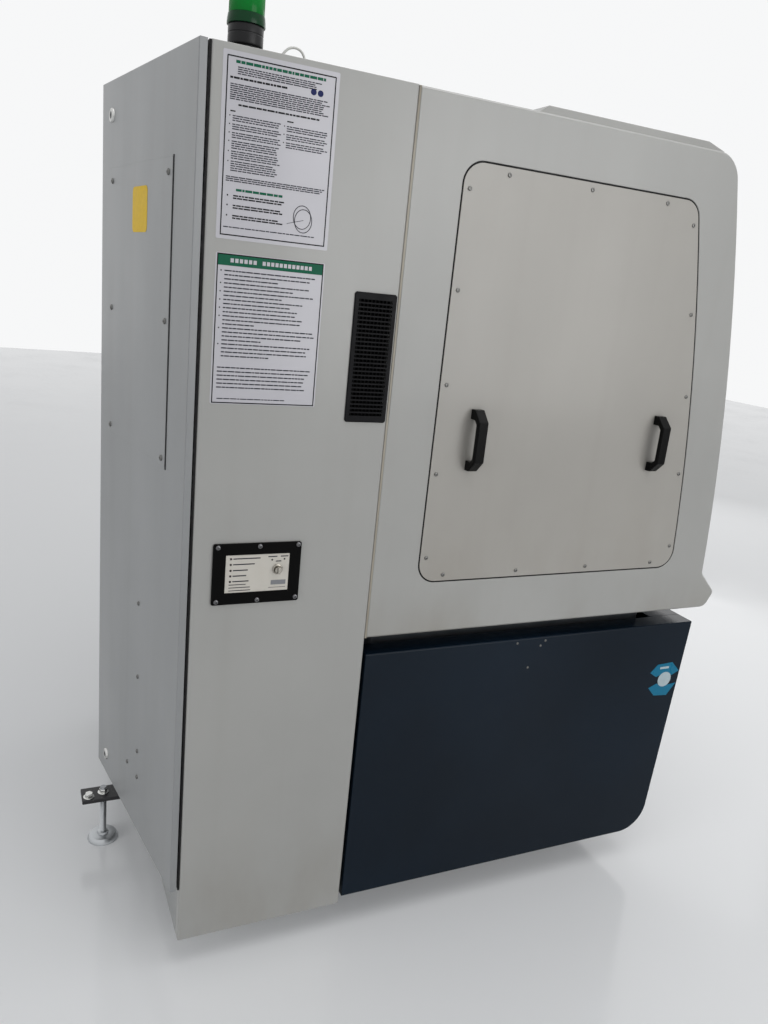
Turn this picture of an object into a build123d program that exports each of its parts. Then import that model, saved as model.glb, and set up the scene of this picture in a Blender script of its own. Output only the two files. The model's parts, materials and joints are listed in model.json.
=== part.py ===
from build123d import *
import os
from math import radians, sqrt, tan

# A CNC tool grinder: an electrical cabinet across the back, a grinding enclosure in front of it
# with a bowed front, a dark plinth below and the grinding mechanism inside.
# +Z is up and the front faces -Y. Depths from the rear skin are called reach, and drops are
# measured down from the roof.

# Driving dimensions, in millimetres
width = 1300.0
roof_z = 2110.0
skirt_z = 80.0
sheet = 3.0
cabinet_depth = 432.0
lip_reach = 1576.0
bracket_reach = 182.0

left_x = -width / 2
right_x = width / 2
rear_y = (lip_reach - bracket_reach) / 2


def y_at(reach):
    """Y of a plane that lies this far in front of the cabinet's rear skin."""
    return rear_y - reach


def z_at(drop):
    """Z of a level that lies this far below the roof."""
    return roof_z - drop


# The left side seen from outside: x runs from the rear skin to the front, y is minus the drop
left_side = Plane(origin=(left_x, rear_y, roof_z), x_dir=(0, -1, 0), z_dir=(-1, 0, 0))


def nearest(sketch, point):
    """The corner of a sketch that lies nearest to a point."""
    return sketch.vertices().sort_by_distance(point)[0]


def block(x_range, reach_range, z_range):
    """An upright rectangular piece between two limits each way."""
    (x_low, x_high), (near, far), (z_low, z_high) = x_range, reach_range, z_range
    with BuildPart() as piece:
        with BuildSketch(Plane.XY.offset(z_low)):
            with Locations(((x_low + x_high) / 2, y_at((near + far) / 2))):
                Rectangle(x_high - x_low, far - near)
        extrude(amount=z_high - z_low)
    return piece.part


# Outline of the grinding enclosure, seen from the left

seam_width = 5.0
enclosure_reach = cabinet_depth + seam_width
enclosure_drop = 1247.0
brow = (1338.0, 0.0)
front_middle = (1468.0, -603.0)
front_foot = (1521.0, -1137.0)
lip_tip = (1583.0, -1199.0)
lip_heel = (1557.0, -enclosure_drop)
brow_radius = 75.0
notch_radius = 22.0
lip_radius = 14.0
heel_radius = 28.0

with BuildSketch() as enclosure_outline:
    with BuildLine():
        front_curve = ThreePointArc(brow, front_middle, front_foot)
        Polyline(front_foot, lip_tip, lip_heel, (enclosure_reach, -enclosure_drop), (enclosure_reach, 0), brow)
    make_face()
    fillet(nearest(enclosure_outline, brow), radius=brow_radius)
    fillet(nearest(enclosure_outline, front_foot), radius=notch_radius)
    fillet(nearest(enclosure_outline, lip_tip), radius=lip_radius)
    fillet(nearest(enclosure_outline, lip_heel), radius=heel_radius)

bow_centre = front_curve.arc_center
bow_radius = front_curve.radius


def bow_reach(drop, inset=0.0):
    """Reach of the bowed front at a drop, or of the line that runs this far inside it."""
    rise = -drop - bow_centre.Y
    return bow_centre.X + sqrt((bow_radius - inset) ** 2 - rise ** 2)


def bow_strip(outer_inset, inner_inset, top_drop, bottom_drop):
    """Section of a sheet that follows the bowed front between two levels."""
    middle_drop = (top_drop + bottom_drop) / 2
    with BuildSketch() as strip:
        with BuildLine():
            outer = ThreePointArc(
                (bow_reach(top_drop, outer_inset), -top_drop),
                (bow_reach(middle_drop, outer_inset), -middle_drop),
                (bow_reach(bottom_drop, outer_inset), -bottom_drop),
            )
            inner = ThreePointArc(
                (bow_reach(top_drop, inner_inset), -top_drop),
                (bow_reach(middle_drop, inner_inset), -middle_drop),
                (bow_reach(bottom_drop, inner_inset), -bottom_drop),
            )
            Line(outer @ 0, inner @ 0)
            Line(outer @ 1, inner @ 1)
        make_face()
    return strip.sketch


def across(sketch, x_low, x_high):
    """Extrude a side section across the machine from one x to another."""
    with BuildPart() as piece:
        with BuildSketch(left_side.offset(left_x - x_low)):
            add(sketch)
        extrude(amount=x_low - x_high)
    return piece.part


def pan(outline, depth, edge):
    """A pressed cover for the left side: eased outside edges, flanges all round, open inside.

    The edge is eased inside too, by what keeps the sheet's thickness there.
    """
    with BuildPart() as hollow:
        with BuildSketch(left_side.offset(-sheet)):
            offset(outline, amount=-sheet)
        extrude(amount=sheet - depth)
        chamfer(hollow.faces().sort_by(Axis.X)[0].edges(), length=edge - (2 - sqrt(2)) * sheet)
    with BuildPart() as cover:
        with BuildSketch(left_side):
            add(outline)
        extrude(amount=-depth)
        eased = cover.faces().sort_by(Axis.X)[0].edges().sort_by(Axis.Y)[:-1]
        chamfer(eased, length=edge)
        add(hollow.part, mode=Mode.SUBTRACT)
    return cover.part


# Grinding enclosure sides, with the service hatch opening in the left one

side_flange = 40.0
side_edge = 5.0
hatch_reach = 557.0
hatch_top = 122.0
hatch_bottom = 1110.0
hatch_inset = 130.0
hatch_corner = 52.0
hatch_gap = 4.0
hatch_plate = 2.0
seat_overlap = 12.0
seat_ledge = 30.0

with BuildSketch() as hatch_outline:
    with BuildLine():
        hatch_front = ThreePointArc(
            (bow_reach(hatch_top, hatch_inset), -hatch_top),
            (bow_reach((hatch_top + hatch_bottom) / 2, hatch_inset), -(hatch_top + hatch_bottom) / 2),
            (bow_reach(hatch_bottom, hatch_inset), -hatch_bottom),
        )
        Polyline(hatch_front @ 1, (hatch_reach, -hatch_bottom), (hatch_reach, -hatch_top), hatch_front @ 0)
    make_face()

with BuildSketch() as seat_inside:
    offset(hatch_outline.sketch, amount=-seat_ledge, kind=Kind.INTERSECTION)

with BuildSketch() as hatch_seat:
    offset(hatch_outline.sketch, amount=seat_overlap, kind=Kind.INTERSECTION)
    add(seat_inside.sketch, mode=Mode.SUBTRACT)

with BuildSketch() as hatch_opening:
    add(hatch_outline.sketch)
    fillet(hatch_opening.vertices(), radius=hatch_corner)

plain_side = pan(enclosure_outline.sketch, side_flange, side_edge)

with BuildPart() as enclosure_side_left:
    add(plain_side)
    with BuildSketch(left_side):
        add(hatch_opening.sketch)
    extrude(amount=-sheet, mode=Mode.SUBTRACT)
    with BuildSketch(left_side.offset(-sheet)):
        add(hatch_seat.sketch)
    extrude(amount=-sheet)
enclosure_side_left.part.label = "enclosure_side_left"

with BuildPart() as enclosure_side_right:
    mirror(plain_side, about=Plane.YZ)
enclosure_side_right.part.label = "enclosure_side_right"

# Service hatch: a flush plate on a rubber seal, held by button-head screws

screw_inset = 20.0
screw_head_radius = 5.5
screw_head_height = 2.6
screw_head_sides = 6
top_screw_reaches = (674.0, 905.0, 1136.0)
bottom_screw_reaches = (630.0, 848.0, 1074.0, 1304.0)
side_screw_drops = (183.0, 400.0, 615.0, 830.0, 1043.0)
hatch_screw_points = [(reach, -hatch_top - screw_inset) for reach in top_screw_reaches]
hatch_screw_points += [(reach, -hatch_bottom + screw_inset) for reach in bottom_screw_reaches]
hatch_screw_points += [(hatch_reach + screw_inset, -drop) for drop in side_screw_drops]
hatch_screw_points += [(bow_reach(drop, hatch_inset + screw_inset), -drop) for drop in side_screw_drops]

with BuildPart() as hatch:
    with BuildSketch(left_side):
        offset(hatch_opening.sketch, amount=-hatch_gap)
    extrude(amount=-hatch_plate)
hatch.part.label = "hatch"

with BuildPart() as hatch_seal:
    with BuildSketch(left_side.offset(-hatch_plate)):
        add(hatch_opening.sketch)
        add(seat_inside.sketch, mode=Mode.SUBTRACT)
    extrude(amount=hatch_plate - sheet)
hatch_seal.part.label = "hatch_seal"

with BuildPart() as hatch_screws:
    with BuildSketch(left_side):
        with Locations(*hatch_screw_points):
            RegularPolygon(radius=screw_head_radius, side_count=screw_head_sides)
    extrude(amount=screw_head_height)
hatch_screws.part.label = "hatch_screws"

# Bridge handles: moulded bars with chamfered ends, two on the hatch

handle_reaches = (667.0, 1235.0)
handle_drop = 744.0
handle_length = 150.0
handle_width = 28.0
handle_standoff = 42.0
handle_grip = 14.0
handle_foot = 24.0
handle_chamfer = 26.0
handle_inner_chamfer = 8.0
handle_edge_chamfer = 2.5
half_handle = handle_length / 2
handle_hollow = handle_standoff - handle_grip

with BuildSketch() as handle_side:
    with BuildLine():
        Polyline(
            (0, -half_handle),
            (handle_standoff - handle_chamfer, -half_handle),
            (handle_standoff, -half_handle + handle_chamfer),
            (handle_standoff, half_handle - handle_chamfer),
            (handle_standoff - handle_chamfer, half_handle),
            (0, half_handle),
            (0, half_handle - handle_foot),
            (handle_hollow - handle_inner_chamfer, half_handle - handle_foot),
            (handle_hollow, half_handle - handle_foot - handle_inner_chamfer),
            (handle_hollow, -half_handle + handle_foot + handle_inner_chamfer),
            (handle_hollow - handle_inner_chamfer, -half_handle + handle_foot),
            (0, -half_handle + handle_foot),
            close=True,
        )
    make_face()


def bridge_handle(foot, outward, across_grip):
    """A bridge handle whose feet stand on a face, with the grip along its own y."""
    normal = Vector(*outward)
    sideways = Vector(*across_grip)
    start = Vector(*foot) - sideways * (handle_width / 2)
    with BuildPart() as handle:
        with BuildSketch(Plane(origin=start, x_dir=normal, z_dir=sideways)):
            add(handle_side.sketch)
        extrude(amount=handle_width)
        grip_edges = handle.faces().filter_by(Plane(start, z_dir=sideways)).edges()
        chamfer(
            grip_edges.filter_by(lambda edge: edge.length > handle_foot), length=handle_edge_chamfer
        )
    return handle.part


with BuildPart() as hatch_handles:
    for reach in handle_reaches:
        add(bridge_handle((left_x, y_at(reach), z_at(handle_drop)), (-1, 0, 0), (0, 1, 0)))
hatch_handles.part.label = "hatch_handles"

# Cabinet skins: folded sheet with a return at the back and the front

return_width = 28.0
fold_radius = 5.0
vent_reach = (327.0, 427.0)
vent_drop = (424.0, 708.0)
display_reach = (45.0, 248.0)
display_drop = (986.0, 1130.0)
cutout_margin = 10.0


def cutout(reach_range, drop_range):
    """A rectangle inside a fitting's outline, hidden behind its flange."""
    (near, far), (top, bottom) = reach_range, drop_range
    with BuildSketch() as hole:
        with Locations(((near + far) / 2, -(top + bottom) / 2)):
            Rectangle(far - near - 2 * cutout_margin, bottom - top - 2 * cutout_margin)
    return hole.sketch


with BuildPart() as plain_skin:
    with BuildSketch(Plane.XY.offset(skirt_z)) as skin_plan:
        with Locations((left_x + return_width / 2, y_at(cabinet_depth / 2))):
            Rectangle(return_width, cabinet_depth)
        fillet(skin_plan.vertices().group_by(Axis.X)[0], radius=fold_radius)
        with Locations((left_x + (return_width + sheet) / 2, y_at(cabinet_depth / 2))):
            Rectangle(return_width - sheet, cabinet_depth - 2 * sheet, mode=Mode.SUBTRACT)
    extrude(amount=roof_z - skirt_z)

with BuildPart() as cabinet_side_left:
    add(plain_skin.part)
    with BuildSketch(left_side):
        add(cutout(vent_reach, vent_drop))
        add(cutout(display_reach, display_drop))
    extrude(amount=-sheet, mode=Mode.SUBTRACT)
cabinet_side_left.part.label = "cabinet_side_left"

with BuildPart() as cabinet_side_right:
    mirror(plain_skin.part, about=Plane.YZ)
cabinet_side_right.part.label = "cabinet_side_right"

# Cabinet roof and bulkhead, between the two skins

inner_x = (left_x + sheet, right_x - sheet)
return_x = (left_x + return_width, right_x - return_width)
frame_reach = (sheet, 23.0)
bulkhead_reach = (cabinet_depth - 2 * sheet, cabinet_depth - sheet)

lamp_x = left_x + 90.0
lamp_reach = 85.0
cable_reach = 213.0
cable_radius = 2.5
cable_hole_radius = 5.5
cable_hole_sides = 8

with BuildPart() as cabinet_roof:
    add(block(inner_x, (sheet, cabinet_depth - sheet), (roof_z - sheet, roof_z)))
    with BuildSketch(Plane.XY.offset(roof_z)):
        with Locations((lamp_x, y_at(cable_reach))):
            RegularPolygon(radius=cable_hole_radius, side_count=cable_hole_sides)
    extrude(amount=-sheet, mode=Mode.SUBTRACT)
cabinet_roof.part.label = "cabinet_roof"

with BuildPart() as cabinet_bulkhead:
    add(block(inner_x, bulkhead_reach, (skirt_z, roof_z - sheet)))
cabinet_bulkhead.part.label = "cabinet_bulkhead"

# Rear frame: one welding with two door openings, a centre post, a skirt below and the floor

door_bottom_z = z_at(1880.0)
door_gap = 2.0
jamb_width = 45.0
sill_height = 15.0
header_height = 40.0
post_half = 60.0
opening_z = (door_bottom_z + sill_height, roof_z - header_height)

with BuildPart() as cabinet_rear_frame:
    add(block(inner_x, frame_reach, (skirt_z, roof_z - sheet)))
    for low, high in ((left_x + jamb_width, -post_half), (post_half, right_x - jamb_width)):
        add(block((low, high), frame_reach, opening_z), mode=Mode.SUBTRACT)
    add(block(return_x, (0, sheet), (skirt_z, door_bottom_z - door_gap)))
    add(block(inner_x, (frame_reach[1], bulkhead_reach[0]), (skirt_z, skirt_z + sheet)))
cabinet_rear_frame.part.label = "cabinet_rear_frame"

# Rubber gaskets round the door openings

door_width = 645.0
gasket_width = 15.0
gasket_rise = 4.0
gasket_edge = 1.0
door_height = roof_z - door_bottom_z
gasket_face = Plane(
    origin=(left_x, rear_y + gasket_rise, door_bottom_z), x_dir=(1, 0, 0), z_dir=(0, -1, 0)
)

with BuildPart() as left_gasket:
    with BuildSketch(gasket_face):
        with Locations((door_width / 2, door_height / 2)):
            Rectangle(door_width - 2 * gasket_edge, door_height - 2 * gasket_edge)
            Rectangle(
                door_width - 2 * (gasket_edge + gasket_width),
                door_height - 2 * (gasket_edge + gasket_width),
                mode=Mode.SUBTRACT,
            )
    extrude(amount=gasket_rise + sheet)
    add(block((left_x, left_x + return_width), (0, sheet), (skirt_z, roof_z)), mode=Mode.SUBTRACT)

with BuildPart() as door_gaskets:
    add(left_gasket.part)
    mirror(left_gasket.part, about=Plane.YZ)
door_gaskets.part.label = "door_gaskets"

# Rear doors: folded pans on concealed goose-neck hinges

door_face = 24.5
door_edge = 8.0
door_skin = 2.0
door_fold = 1.5
hinge_x = left_x + 8.0
hinge_y = rear_y + 15.0
hinge_line = Axis((hinge_x, hinge_y, 0), (0, 0, 1))
ajar_angle = 9.3
hinge_heights = (430.0, 1170.0, 1910.0)
knuckle_radius = 4.5
knuckle_height = 40.0
knuckle_gap = 0.5
pin_radius = 2.5
pin_clearance = 0.05
hinge_sides = 6
leaf_half = 1.5
goose_neck = 16.0
lock_x = left_x + 560.0
lock_drops = (78.0, 1816.0)
lock_barrel = 11.0
lock_clearance = 0.2
lock_sides = 10
door_z = (door_bottom_z, roof_z)
knuckle_foot = rear_y + door_face - door_skin


def bore(radius, side_count):
    """Cut a many-sided hole in which a shaft of this radius can turn."""
    return RegularPolygon(radius=radius, side_count=side_count, major_radius=False, mode=Mode.SUBTRACT)


with BuildPart() as closed_door:
    add(block((left_x, left_x + door_width), (-door_face, -door_edge), door_z))
    chamfer(closed_door.faces().sort_by(Axis.Y)[-1].edges(), length=door_fold)
    add(
        block(
            (left_x + door_skin, left_x + door_width - door_skin),
            (door_skin - door_face, -door_edge),
            (door_bottom_z + door_skin, roof_z - door_skin),
        ),
        mode=Mode.SUBTRACT,
    )
    for height in hinge_heights:
        with BuildSketch(Plane.XY.offset(height + knuckle_gap)):
            with Locations((hinge_x, hinge_y)):
                RegularPolygon(radius=knuckle_radius, side_count=hinge_sides)
            with Locations((hinge_x, (hinge_y + knuckle_foot) / 2)):
                Rectangle(2 * leaf_half, knuckle_foot - hinge_y)
            with Locations((hinge_x, hinge_y)):
                bore(pin_radius + pin_clearance, hinge_sides)
        extrude(amount=knuckle_height)
    with BuildSketch(Plane(origin=(lock_x, rear_y + door_face, 0), x_dir=(-1, 0, 0), z_dir=(0, 1, 0))):
        with Locations(*[(0, z_at(drop)) for drop in lock_drops]):
            RegularPolygon(radius=lock_barrel + lock_clearance, side_count=lock_sides)
    extrude(amount=-door_skin, mode=Mode.SUBTRACT)

with BuildPart() as rear_door_left:
    add(closed_door.part.rotate(hinge_line, ajar_angle))
rear_door_left.part.label = "rear_door_left"

with BuildPart() as rear_door_right:
    mirror(closed_door.part, about=Plane.YZ)
rear_door_right.part.label = "rear_door_right"

with BuildPart() as left_leaves:
    for height in hinge_heights:
        with BuildSketch(Plane.XY.offset(height - knuckle_height)):
            with Locations((hinge_x, hinge_y)):
                RegularPolygon(radius=knuckle_radius, side_count=hinge_sides)
            with Locations((hinge_x + goose_neck / 2, hinge_y)):
                Rectangle(goose_neck, 2 * leaf_half)
            with Locations((hinge_x + goose_neck - leaf_half, (hinge_y + rear_y) / 2)):
                Rectangle(2 * leaf_half, hinge_y - rear_y)
        extrude(amount=knuckle_height)
        with BuildSketch(Plane.XY.offset(height)):
            with Locations((hinge_x, hinge_y)):
                RegularPolygon(radius=pin_radius, side_count=hinge_sides)
        extrude(amount=knuckle_height)

with BuildPart() as frame_hinges:
    add(left_leaves.part)
    mirror(left_leaves.part, about=Plane.YZ)
frame_hinges.part.label = "frame_hinges"

# Cover plate screwed over a service opening in the left door

cover_reach = (120.0, 565.0)
cover_drop = (198.0, 841.0)
cover_thickness = 2.0

with BuildPart() as rear_door_cover_plate:
    flat = block(
        (left_x + cover_reach[0], left_x + cover_reach[1]),
        (-door_face - cover_thickness, -door_face),
        (z_at(cover_drop[1]), z_at(cover_drop[0])),
    )
    add(flat.rotate(hinge_line, ajar_angle))
rear_door_cover_plate.part.label = "rear_door_cover_plate"

# Quarter-turn locks: a round body in the door and a turning core with a tongue

escutcheon_radius = 17.0
escutcheon_rise = 5.0
escutcheon_sides = 18
barrel_depth = 30.0
core_radius = 8.0
core_recess = 0.5
core_clearance = 0.05
socket_radius = 4.5
socket_depth = 8.0
tongue_reach = 27.5
tongue_thickness = 3.0
tongue_length = 45.0
tongue_width = 18.0


def lock_plane(height, reach):
    """Plane across a lock's axis, facing out of the closed left door."""
    return Plane(origin=(lock_x, y_at(reach), height), x_dir=(-1, 0, 0), z_dir=(0, 1, 0))


def lock_body(height):
    """Escutcheon and threaded barrel of one quarter-turn lock in the closed left door."""
    with BuildPart() as body:
        with BuildSketch(lock_plane(height, -door_face)):
            RegularPolygon(radius=escutcheon_radius, side_count=escutcheon_sides)
        extrude(amount=escutcheon_rise, taper=20)
        with BuildSketch(lock_plane(height, -door_face)):
            RegularPolygon(radius=lock_barrel, side_count=lock_sides)
        extrude(amount=-barrel_depth)
        with BuildSketch(lock_plane(height, -door_face)):
            RegularPolygon(
                radius=core_radius + core_clearance, side_count=lock_sides, major_radius=False
            )
        extrude(amount=barrel_depth, both=True, mode=Mode.SUBTRACT)
    return body.part


def lock_core(height):
    """Turning core of one lock, with its tongue hanging down, in the closed left door."""
    core_face = -door_face - escutcheon_rise + core_recess
    with BuildPart() as core:
        with BuildSketch(lock_plane(height, core_face)):
            RegularPolygon(radius=core_radius, side_count=lock_sides)
        extrude(amount=core_face - tongue_reach)
        with BuildSketch(lock_plane(height, core_face)):
            RegularPolygon(radius=socket_radius, side_count=3)
        extrude(amount=-socket_depth, mode=Mode.SUBTRACT)
        with BuildSketch(lock_plane(height, tongue_reach)):
            with Locations((0, -tongue_length / 2)):
                Rectangle(tongue_width, tongue_length)
        extrude(amount=tongue_thickness)
    return core.part


with BuildPart() as closed_lock_bodies:
    for drop in lock_drops:
        add(lock_body(z_at(drop)))

with BuildPart() as lock_bodies_left:
    add(closed_lock_bodies.part.rotate(hinge_line, ajar_angle))
lock_bodies_left.part.label = "lock_bodies_left"

with BuildPart() as lock_bodies_right:
    mirror(closed_lock_bodies.part, about=Plane.YZ)
lock_bodies_right.part.label = "lock_bodies_right"

lock_cores = []
for level, drop in zip(("upper", "lower"), lock_drops):
    closed_core = lock_core(z_at(drop))
    with BuildPart() as core_left:
        add(closed_core.rotate(hinge_line, ajar_angle))
    core_left.part.label = f"lock_core_left_{level}"
    with BuildPart() as core_right:
        mirror(closed_core, about=Plane.YZ)
    core_right.part.label = f"lock_core_right_{level}"
    lock_cores += [core_left, core_right]

# Inside the cabinet: mounting plate, wiring ducts, servo drives and a row of contactors

plate_thickness = 6.0
plate_x = (left_x + 60.0, right_x - 60.0)
plate_z = (300.0, 2040.0)
plate_reach = (bulkhead_reach[0] - plate_thickness, bulkhead_reach[0])
duct_depth = 60.0
duct_height = 50.0
duct_x = (left_x + 80.0, right_x - 80.0)
duct_levels = (420.0, 980.0, 1500.0, 1940.0)
bank_x = 310.0
drive_width = 78.0
drive_height = 340.0
drive_depth = 190.0
drive_chamfer = 12.0
drive_z = 1740.0
bank_spacing = 116.0
bank_count = 4
contactor_z = 1240.0
contactor_width = 54.0
contactor_height = 92.0
contactor_base_depth = 54.0
contactor_nose_height = 50.0
contactor_nose_depth = 36.0

with BuildPart() as mounting_plate:
    add(block(plate_x, plate_reach, plate_z))
mounting_plate.part.label = "mounting_plate"

with BuildPart() as wiring_ducts:
    for level in duct_levels:
        add(block(duct_x, (plate_reach[0] - duct_depth, plate_reach[0]), (level, level + duct_height)))
wiring_ducts.part.label = "wiring_ducts"

plate_face = Plane(origin=(0, y_at(plate_reach[0]), 0), x_dir=(-1, 0, 0), z_dir=(0, 1, 0))

with BuildPart() as servo_drives:
    with BuildSketch(plate_face):
        with Locations((-bank_x, drive_z), (bank_x, drive_z)):
            with GridLocations(bank_spacing, 1, bank_count, 1):
                Rectangle(drive_width, drive_height)
    extrude(amount=drive_depth)
    chamfer(servo_drives.faces().group_by(Axis.Y)[-1].edges().filter_by(Axis.X), length=drive_chamfer)
servo_drives.part.label = "servo_drives"

with BuildPart() as contactors:
    with BuildSketch(plate_face):
        with Locations((-bank_x, contactor_z), (bank_x, contactor_z)):
            with GridLocations(bank_spacing, 1, bank_count, 1):
                Rectangle(contactor_width, contactor_height)
    extrude(amount=contactor_base_depth)
    with BuildSketch(plate_face.offset(contactor_base_depth)):
        with Locations((-bank_x, contactor_z), (bank_x, contactor_z)):
            with GridLocations(bank_spacing, 1, bank_count, 1):
                Rectangle(contactor_width, contactor_nose_height)
    extrude(amount=contactor_nose_depth)
contactors.part.label = "contactors"

# Side vent: a moulded plastic grille with rows of slots

vent_rise = 4.0
vent_corner = 4.0
vent_chamfer = 1.5
slot_rows = 28
slot_pitch = 9.2
slot_height = 6.0
slot_width = 80.0
vent_centre = (sum(vent_reach) / 2, -sum(vent_drop) / 2)

with BuildPart() as vent_grille:
    with BuildSketch(left_side) as vent_outline:
        with Locations(vent_centre):
            Rectangle(vent_reach[1] - vent_reach[0], vent_drop[1] - vent_drop[0])
        chamfer(vent_outline.vertices(), length=vent_corner)
    extrude(amount=vent_rise)
    chamfer(vent_grille.faces().sort_by(Axis.X)[0].edges(), length=vent_chamfer)
    with BuildSketch(left_side.offset(vent_rise)):
        with Locations(vent_centre):
            with GridLocations(1, slot_pitch, 1, slot_rows):
                Rectangle(slot_width, slot_height)
    extrude(amount=-vent_rise, mode=Mode.SUBTRACT)
vent_grille.part.label = "vent_grille"

# Display panel: a black frame, its printed plate and a key switch

bezel_rise = 5.0
bezel_corner = 3.0
plate_recess = 1.0
plate_window_reach = (74.0, 221.0)
plate_window_drop = (1013.0, 1102.0)
key_reach = 194.0
key_drop = 1050.0
key_collar_radius = 11.0
key_collar_rise = 3.0
key_radius = 8.0
key_length = 14.0
key_bow_width = 5.0
key_bow_height = 6.0
key_bow_length = 15.0
key_clearance = 0.05
key_sides = 16

display_centre = (sum(display_reach) / 2, -sum(display_drop) / 2)
window_centre = (sum(plate_window_reach) / 2, -sum(plate_window_drop) / 2)
window_size = (plate_window_reach[1] - plate_window_reach[0], plate_window_drop[1] - plate_window_drop[0])
key_point = (key_reach, -key_drop)

with BuildPart() as display_bezel:
    with BuildSketch(left_side) as bezel_outline:
        with Locations(display_centre):
            Rectangle(display_reach[1] - display_reach[0], display_drop[1] - display_drop[0])
        chamfer(bezel_outline.vertices(), length=bezel_corner)
        with Locations(window_centre):
            Rectangle(*window_size, mode=Mode.SUBTRACT)
    extrude(amount=bezel_rise)
display_bezel.part.label = "display_bezel"

with BuildPart() as display_plate:
    with BuildSketch(left_side):
        with Locations(window_centre):
            Rectangle(*window_size)
        with Locations(key_point):
            bore(key_radius + key_clearance, key_sides)
    extrude(amount=bezel_rise - plate_recess)
    with BuildSketch(left_side.offset(bezel_rise - plate_recess)):
        with Locations(key_point):
            RegularPolygon(radius=key_collar_radius, side_count=key_sides)
            bore(key_radius + key_clearance, key_sides)
    extrude(amount=key_collar_rise)
display_plate.part.label = "display_plate"

with BuildPart() as key_switch:
    with BuildSketch(left_side):
        with Locations(key_point):
            RegularPolygon(radius=key_radius, side_count=key_sides)
    extrude(amount=key_length)
    with BuildSketch(left_side.offset(key_length)):
        with Locations(key_point):
            Rectangle(key_bow_width, key_bow_length)
    extrude(amount=key_bow_height)
key_switch.part.label = "key_switch"

# Beige sealing strips in the seam between the cabinet and the enclosure

seal_recess = 1.0
seal_width = 19.0
seal_x = (left_x + seal_recess, left_x + seal_recess + seal_width)

with BuildPart() as seam_seal:
    add(block(seal_x, (cabinet_depth, enclosure_reach), (z_at(enclosure_drop), roof_z - seal_recess)))
    mirror(about=Plane.YZ)
seam_seal.part.label = "seam_seal"

# Enclosure roof and its raised lid, a folded cover that is open underneath

roof_x = (left_x + side_flange, right_x - side_flange)
roof_reach = (enclosure_reach, 1240.0)
lid_x = (left_x + 60.0, right_x - 60.0)
lid_rise = 30.0
lid_rear = 750.0
lid_top_rear = 793.0
lid_top_front = 1289.0
lid_front = 1345.0
lid_front_rise = 14.0
lid_depth = 45.0

with BuildPart() as enclosure_roof:
    add(block(roof_x, roof_reach, (roof_z - sheet, roof_z)))
enclosure_roof.part.label = "enclosure_roof"

with BuildSketch() as lid_shape:
    with BuildLine():
        Polyline(
            (lid_rear, 0),
            (lid_top_rear, lid_rise),
            (lid_top_front, lid_rise),
            (lid_front, lid_front_rise),
            (lid_front, -lid_depth),
            (lid_rear, -lid_depth),
            close=True,
        )
    make_face()

with BuildSketch() as lid_outline:
    add(lid_shape.sketch)
    add(enclosure_outline.sketch, mode=Mode.SUBTRACT)

with BuildSketch() as lid_hollow:
    offset(lid_shape.sketch, amount=-sheet, kind=Kind.INTERSECTION)
    add(enclosure_outline.sketch, mode=Mode.SUBTRACT)

with BuildPart() as roof_lid:
    add(across(lid_outline.sketch, *lid_x))
    add(across(lid_hollow.sketch, lid_x[0] + sheet, lid_x[1] - sheet), mode=Mode.SUBTRACT)
roof_lid.part.label = "roof_lid"

# Front frame: one sheet over the brow, down the bowed front and round the lip

door_opening_x = (left_x + 100.0, 20.0)
door_opening_drop = (230.0, 1080.0)
door_opening_z = (z_at(door_opening_drop[1]), z_at(door_opening_drop[0]))

with BuildSketch() as front_section:
    add(enclosure_outline.sketch)
    offset(enclosure_outline.sketch, amount=-sheet, mode=Mode.SUBTRACT)
    with Locations((roof_reach[1], 0)):
        Rectangle(enclosure_drop, 4 * enclosure_drop, align=(Align.MIN, Align.CENTER), mode=Mode.INTERSECT)

with BuildPart() as front_frame:
    add(across(front_section.sketch, *roof_x))
    add(block(door_opening_x, (roof_reach[1], lip_reach), door_opening_z), mode=Mode.SUBTRACT)
front_frame.part.label = "front_frame"

# Sliding front door behind the frame, with its window, handle and guide rails

door_inset = (12.0, 16.0)
door_drop = (200.0, 1110.0)
door_overlap = 20.0
door_x = (door_opening_x[0] - door_overlap, door_opening_x[1] + door_overlap)
window_x = (door_x[0] + 130.0, door_x[1] - 60.0)
window_drop = (300.0, 900.0)
window_corner = 15.0
rail_height = 18.0
rail_gap = 1.0
rail_insets = (sheet, 24.0)

front_view = Plane(origin=(0, y_at(lip_reach), roof_z), x_dir=(1, 0, 0), z_dir=(0, -1, 0))
pane_centre = (sum(window_x) / 2, -sum(window_drop) / 2)
pane_size = (window_x[1] - window_x[0], window_drop[1] - window_drop[0])

with BuildPart() as window_cut:
    with BuildSketch(front_view) as pane:
        with Locations(pane_centre):
            Rectangle(*pane_size)
        chamfer(pane.vertices(), length=window_corner)
    extrude(amount=roof_reach[1] - lip_reach)

with BuildPart() as front_door:
    add(across(bow_strip(*door_inset, *door_drop), *door_x))
    add(window_cut.part, mode=Mode.SUBTRACT)
front_door.part.label = "front_door"

with BuildPart() as front_door_window:
    add(across(bow_strip(*door_inset, *door_drop), *door_x))
    add(window_cut.part, mode=Mode.INTERSECT)
front_door_window.part.label = "front_door_window"

grip_x = door_x[0] + 75.0
grip_drops = (460.0, 760.0)
grip_size = 26.0
grip_standoff = 44.0

with BuildPart() as front_door_handle:
    with BuildSketch(left_side.offset(left_x - grip_x)):
        add(bow_strip(-grip_standoff, grip_size - grip_standoff, *grip_drops))
        add(bow_strip(-grip_standoff, door_inset[0], grip_drops[0], grip_drops[0] + grip_size))
        add(bow_strip(-grip_standoff, door_inset[0], grip_drops[1] - grip_size, grip_drops[1]))
    extrude(amount=-grip_size)
front_door_handle.part.label = "front_door_handle"

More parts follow.
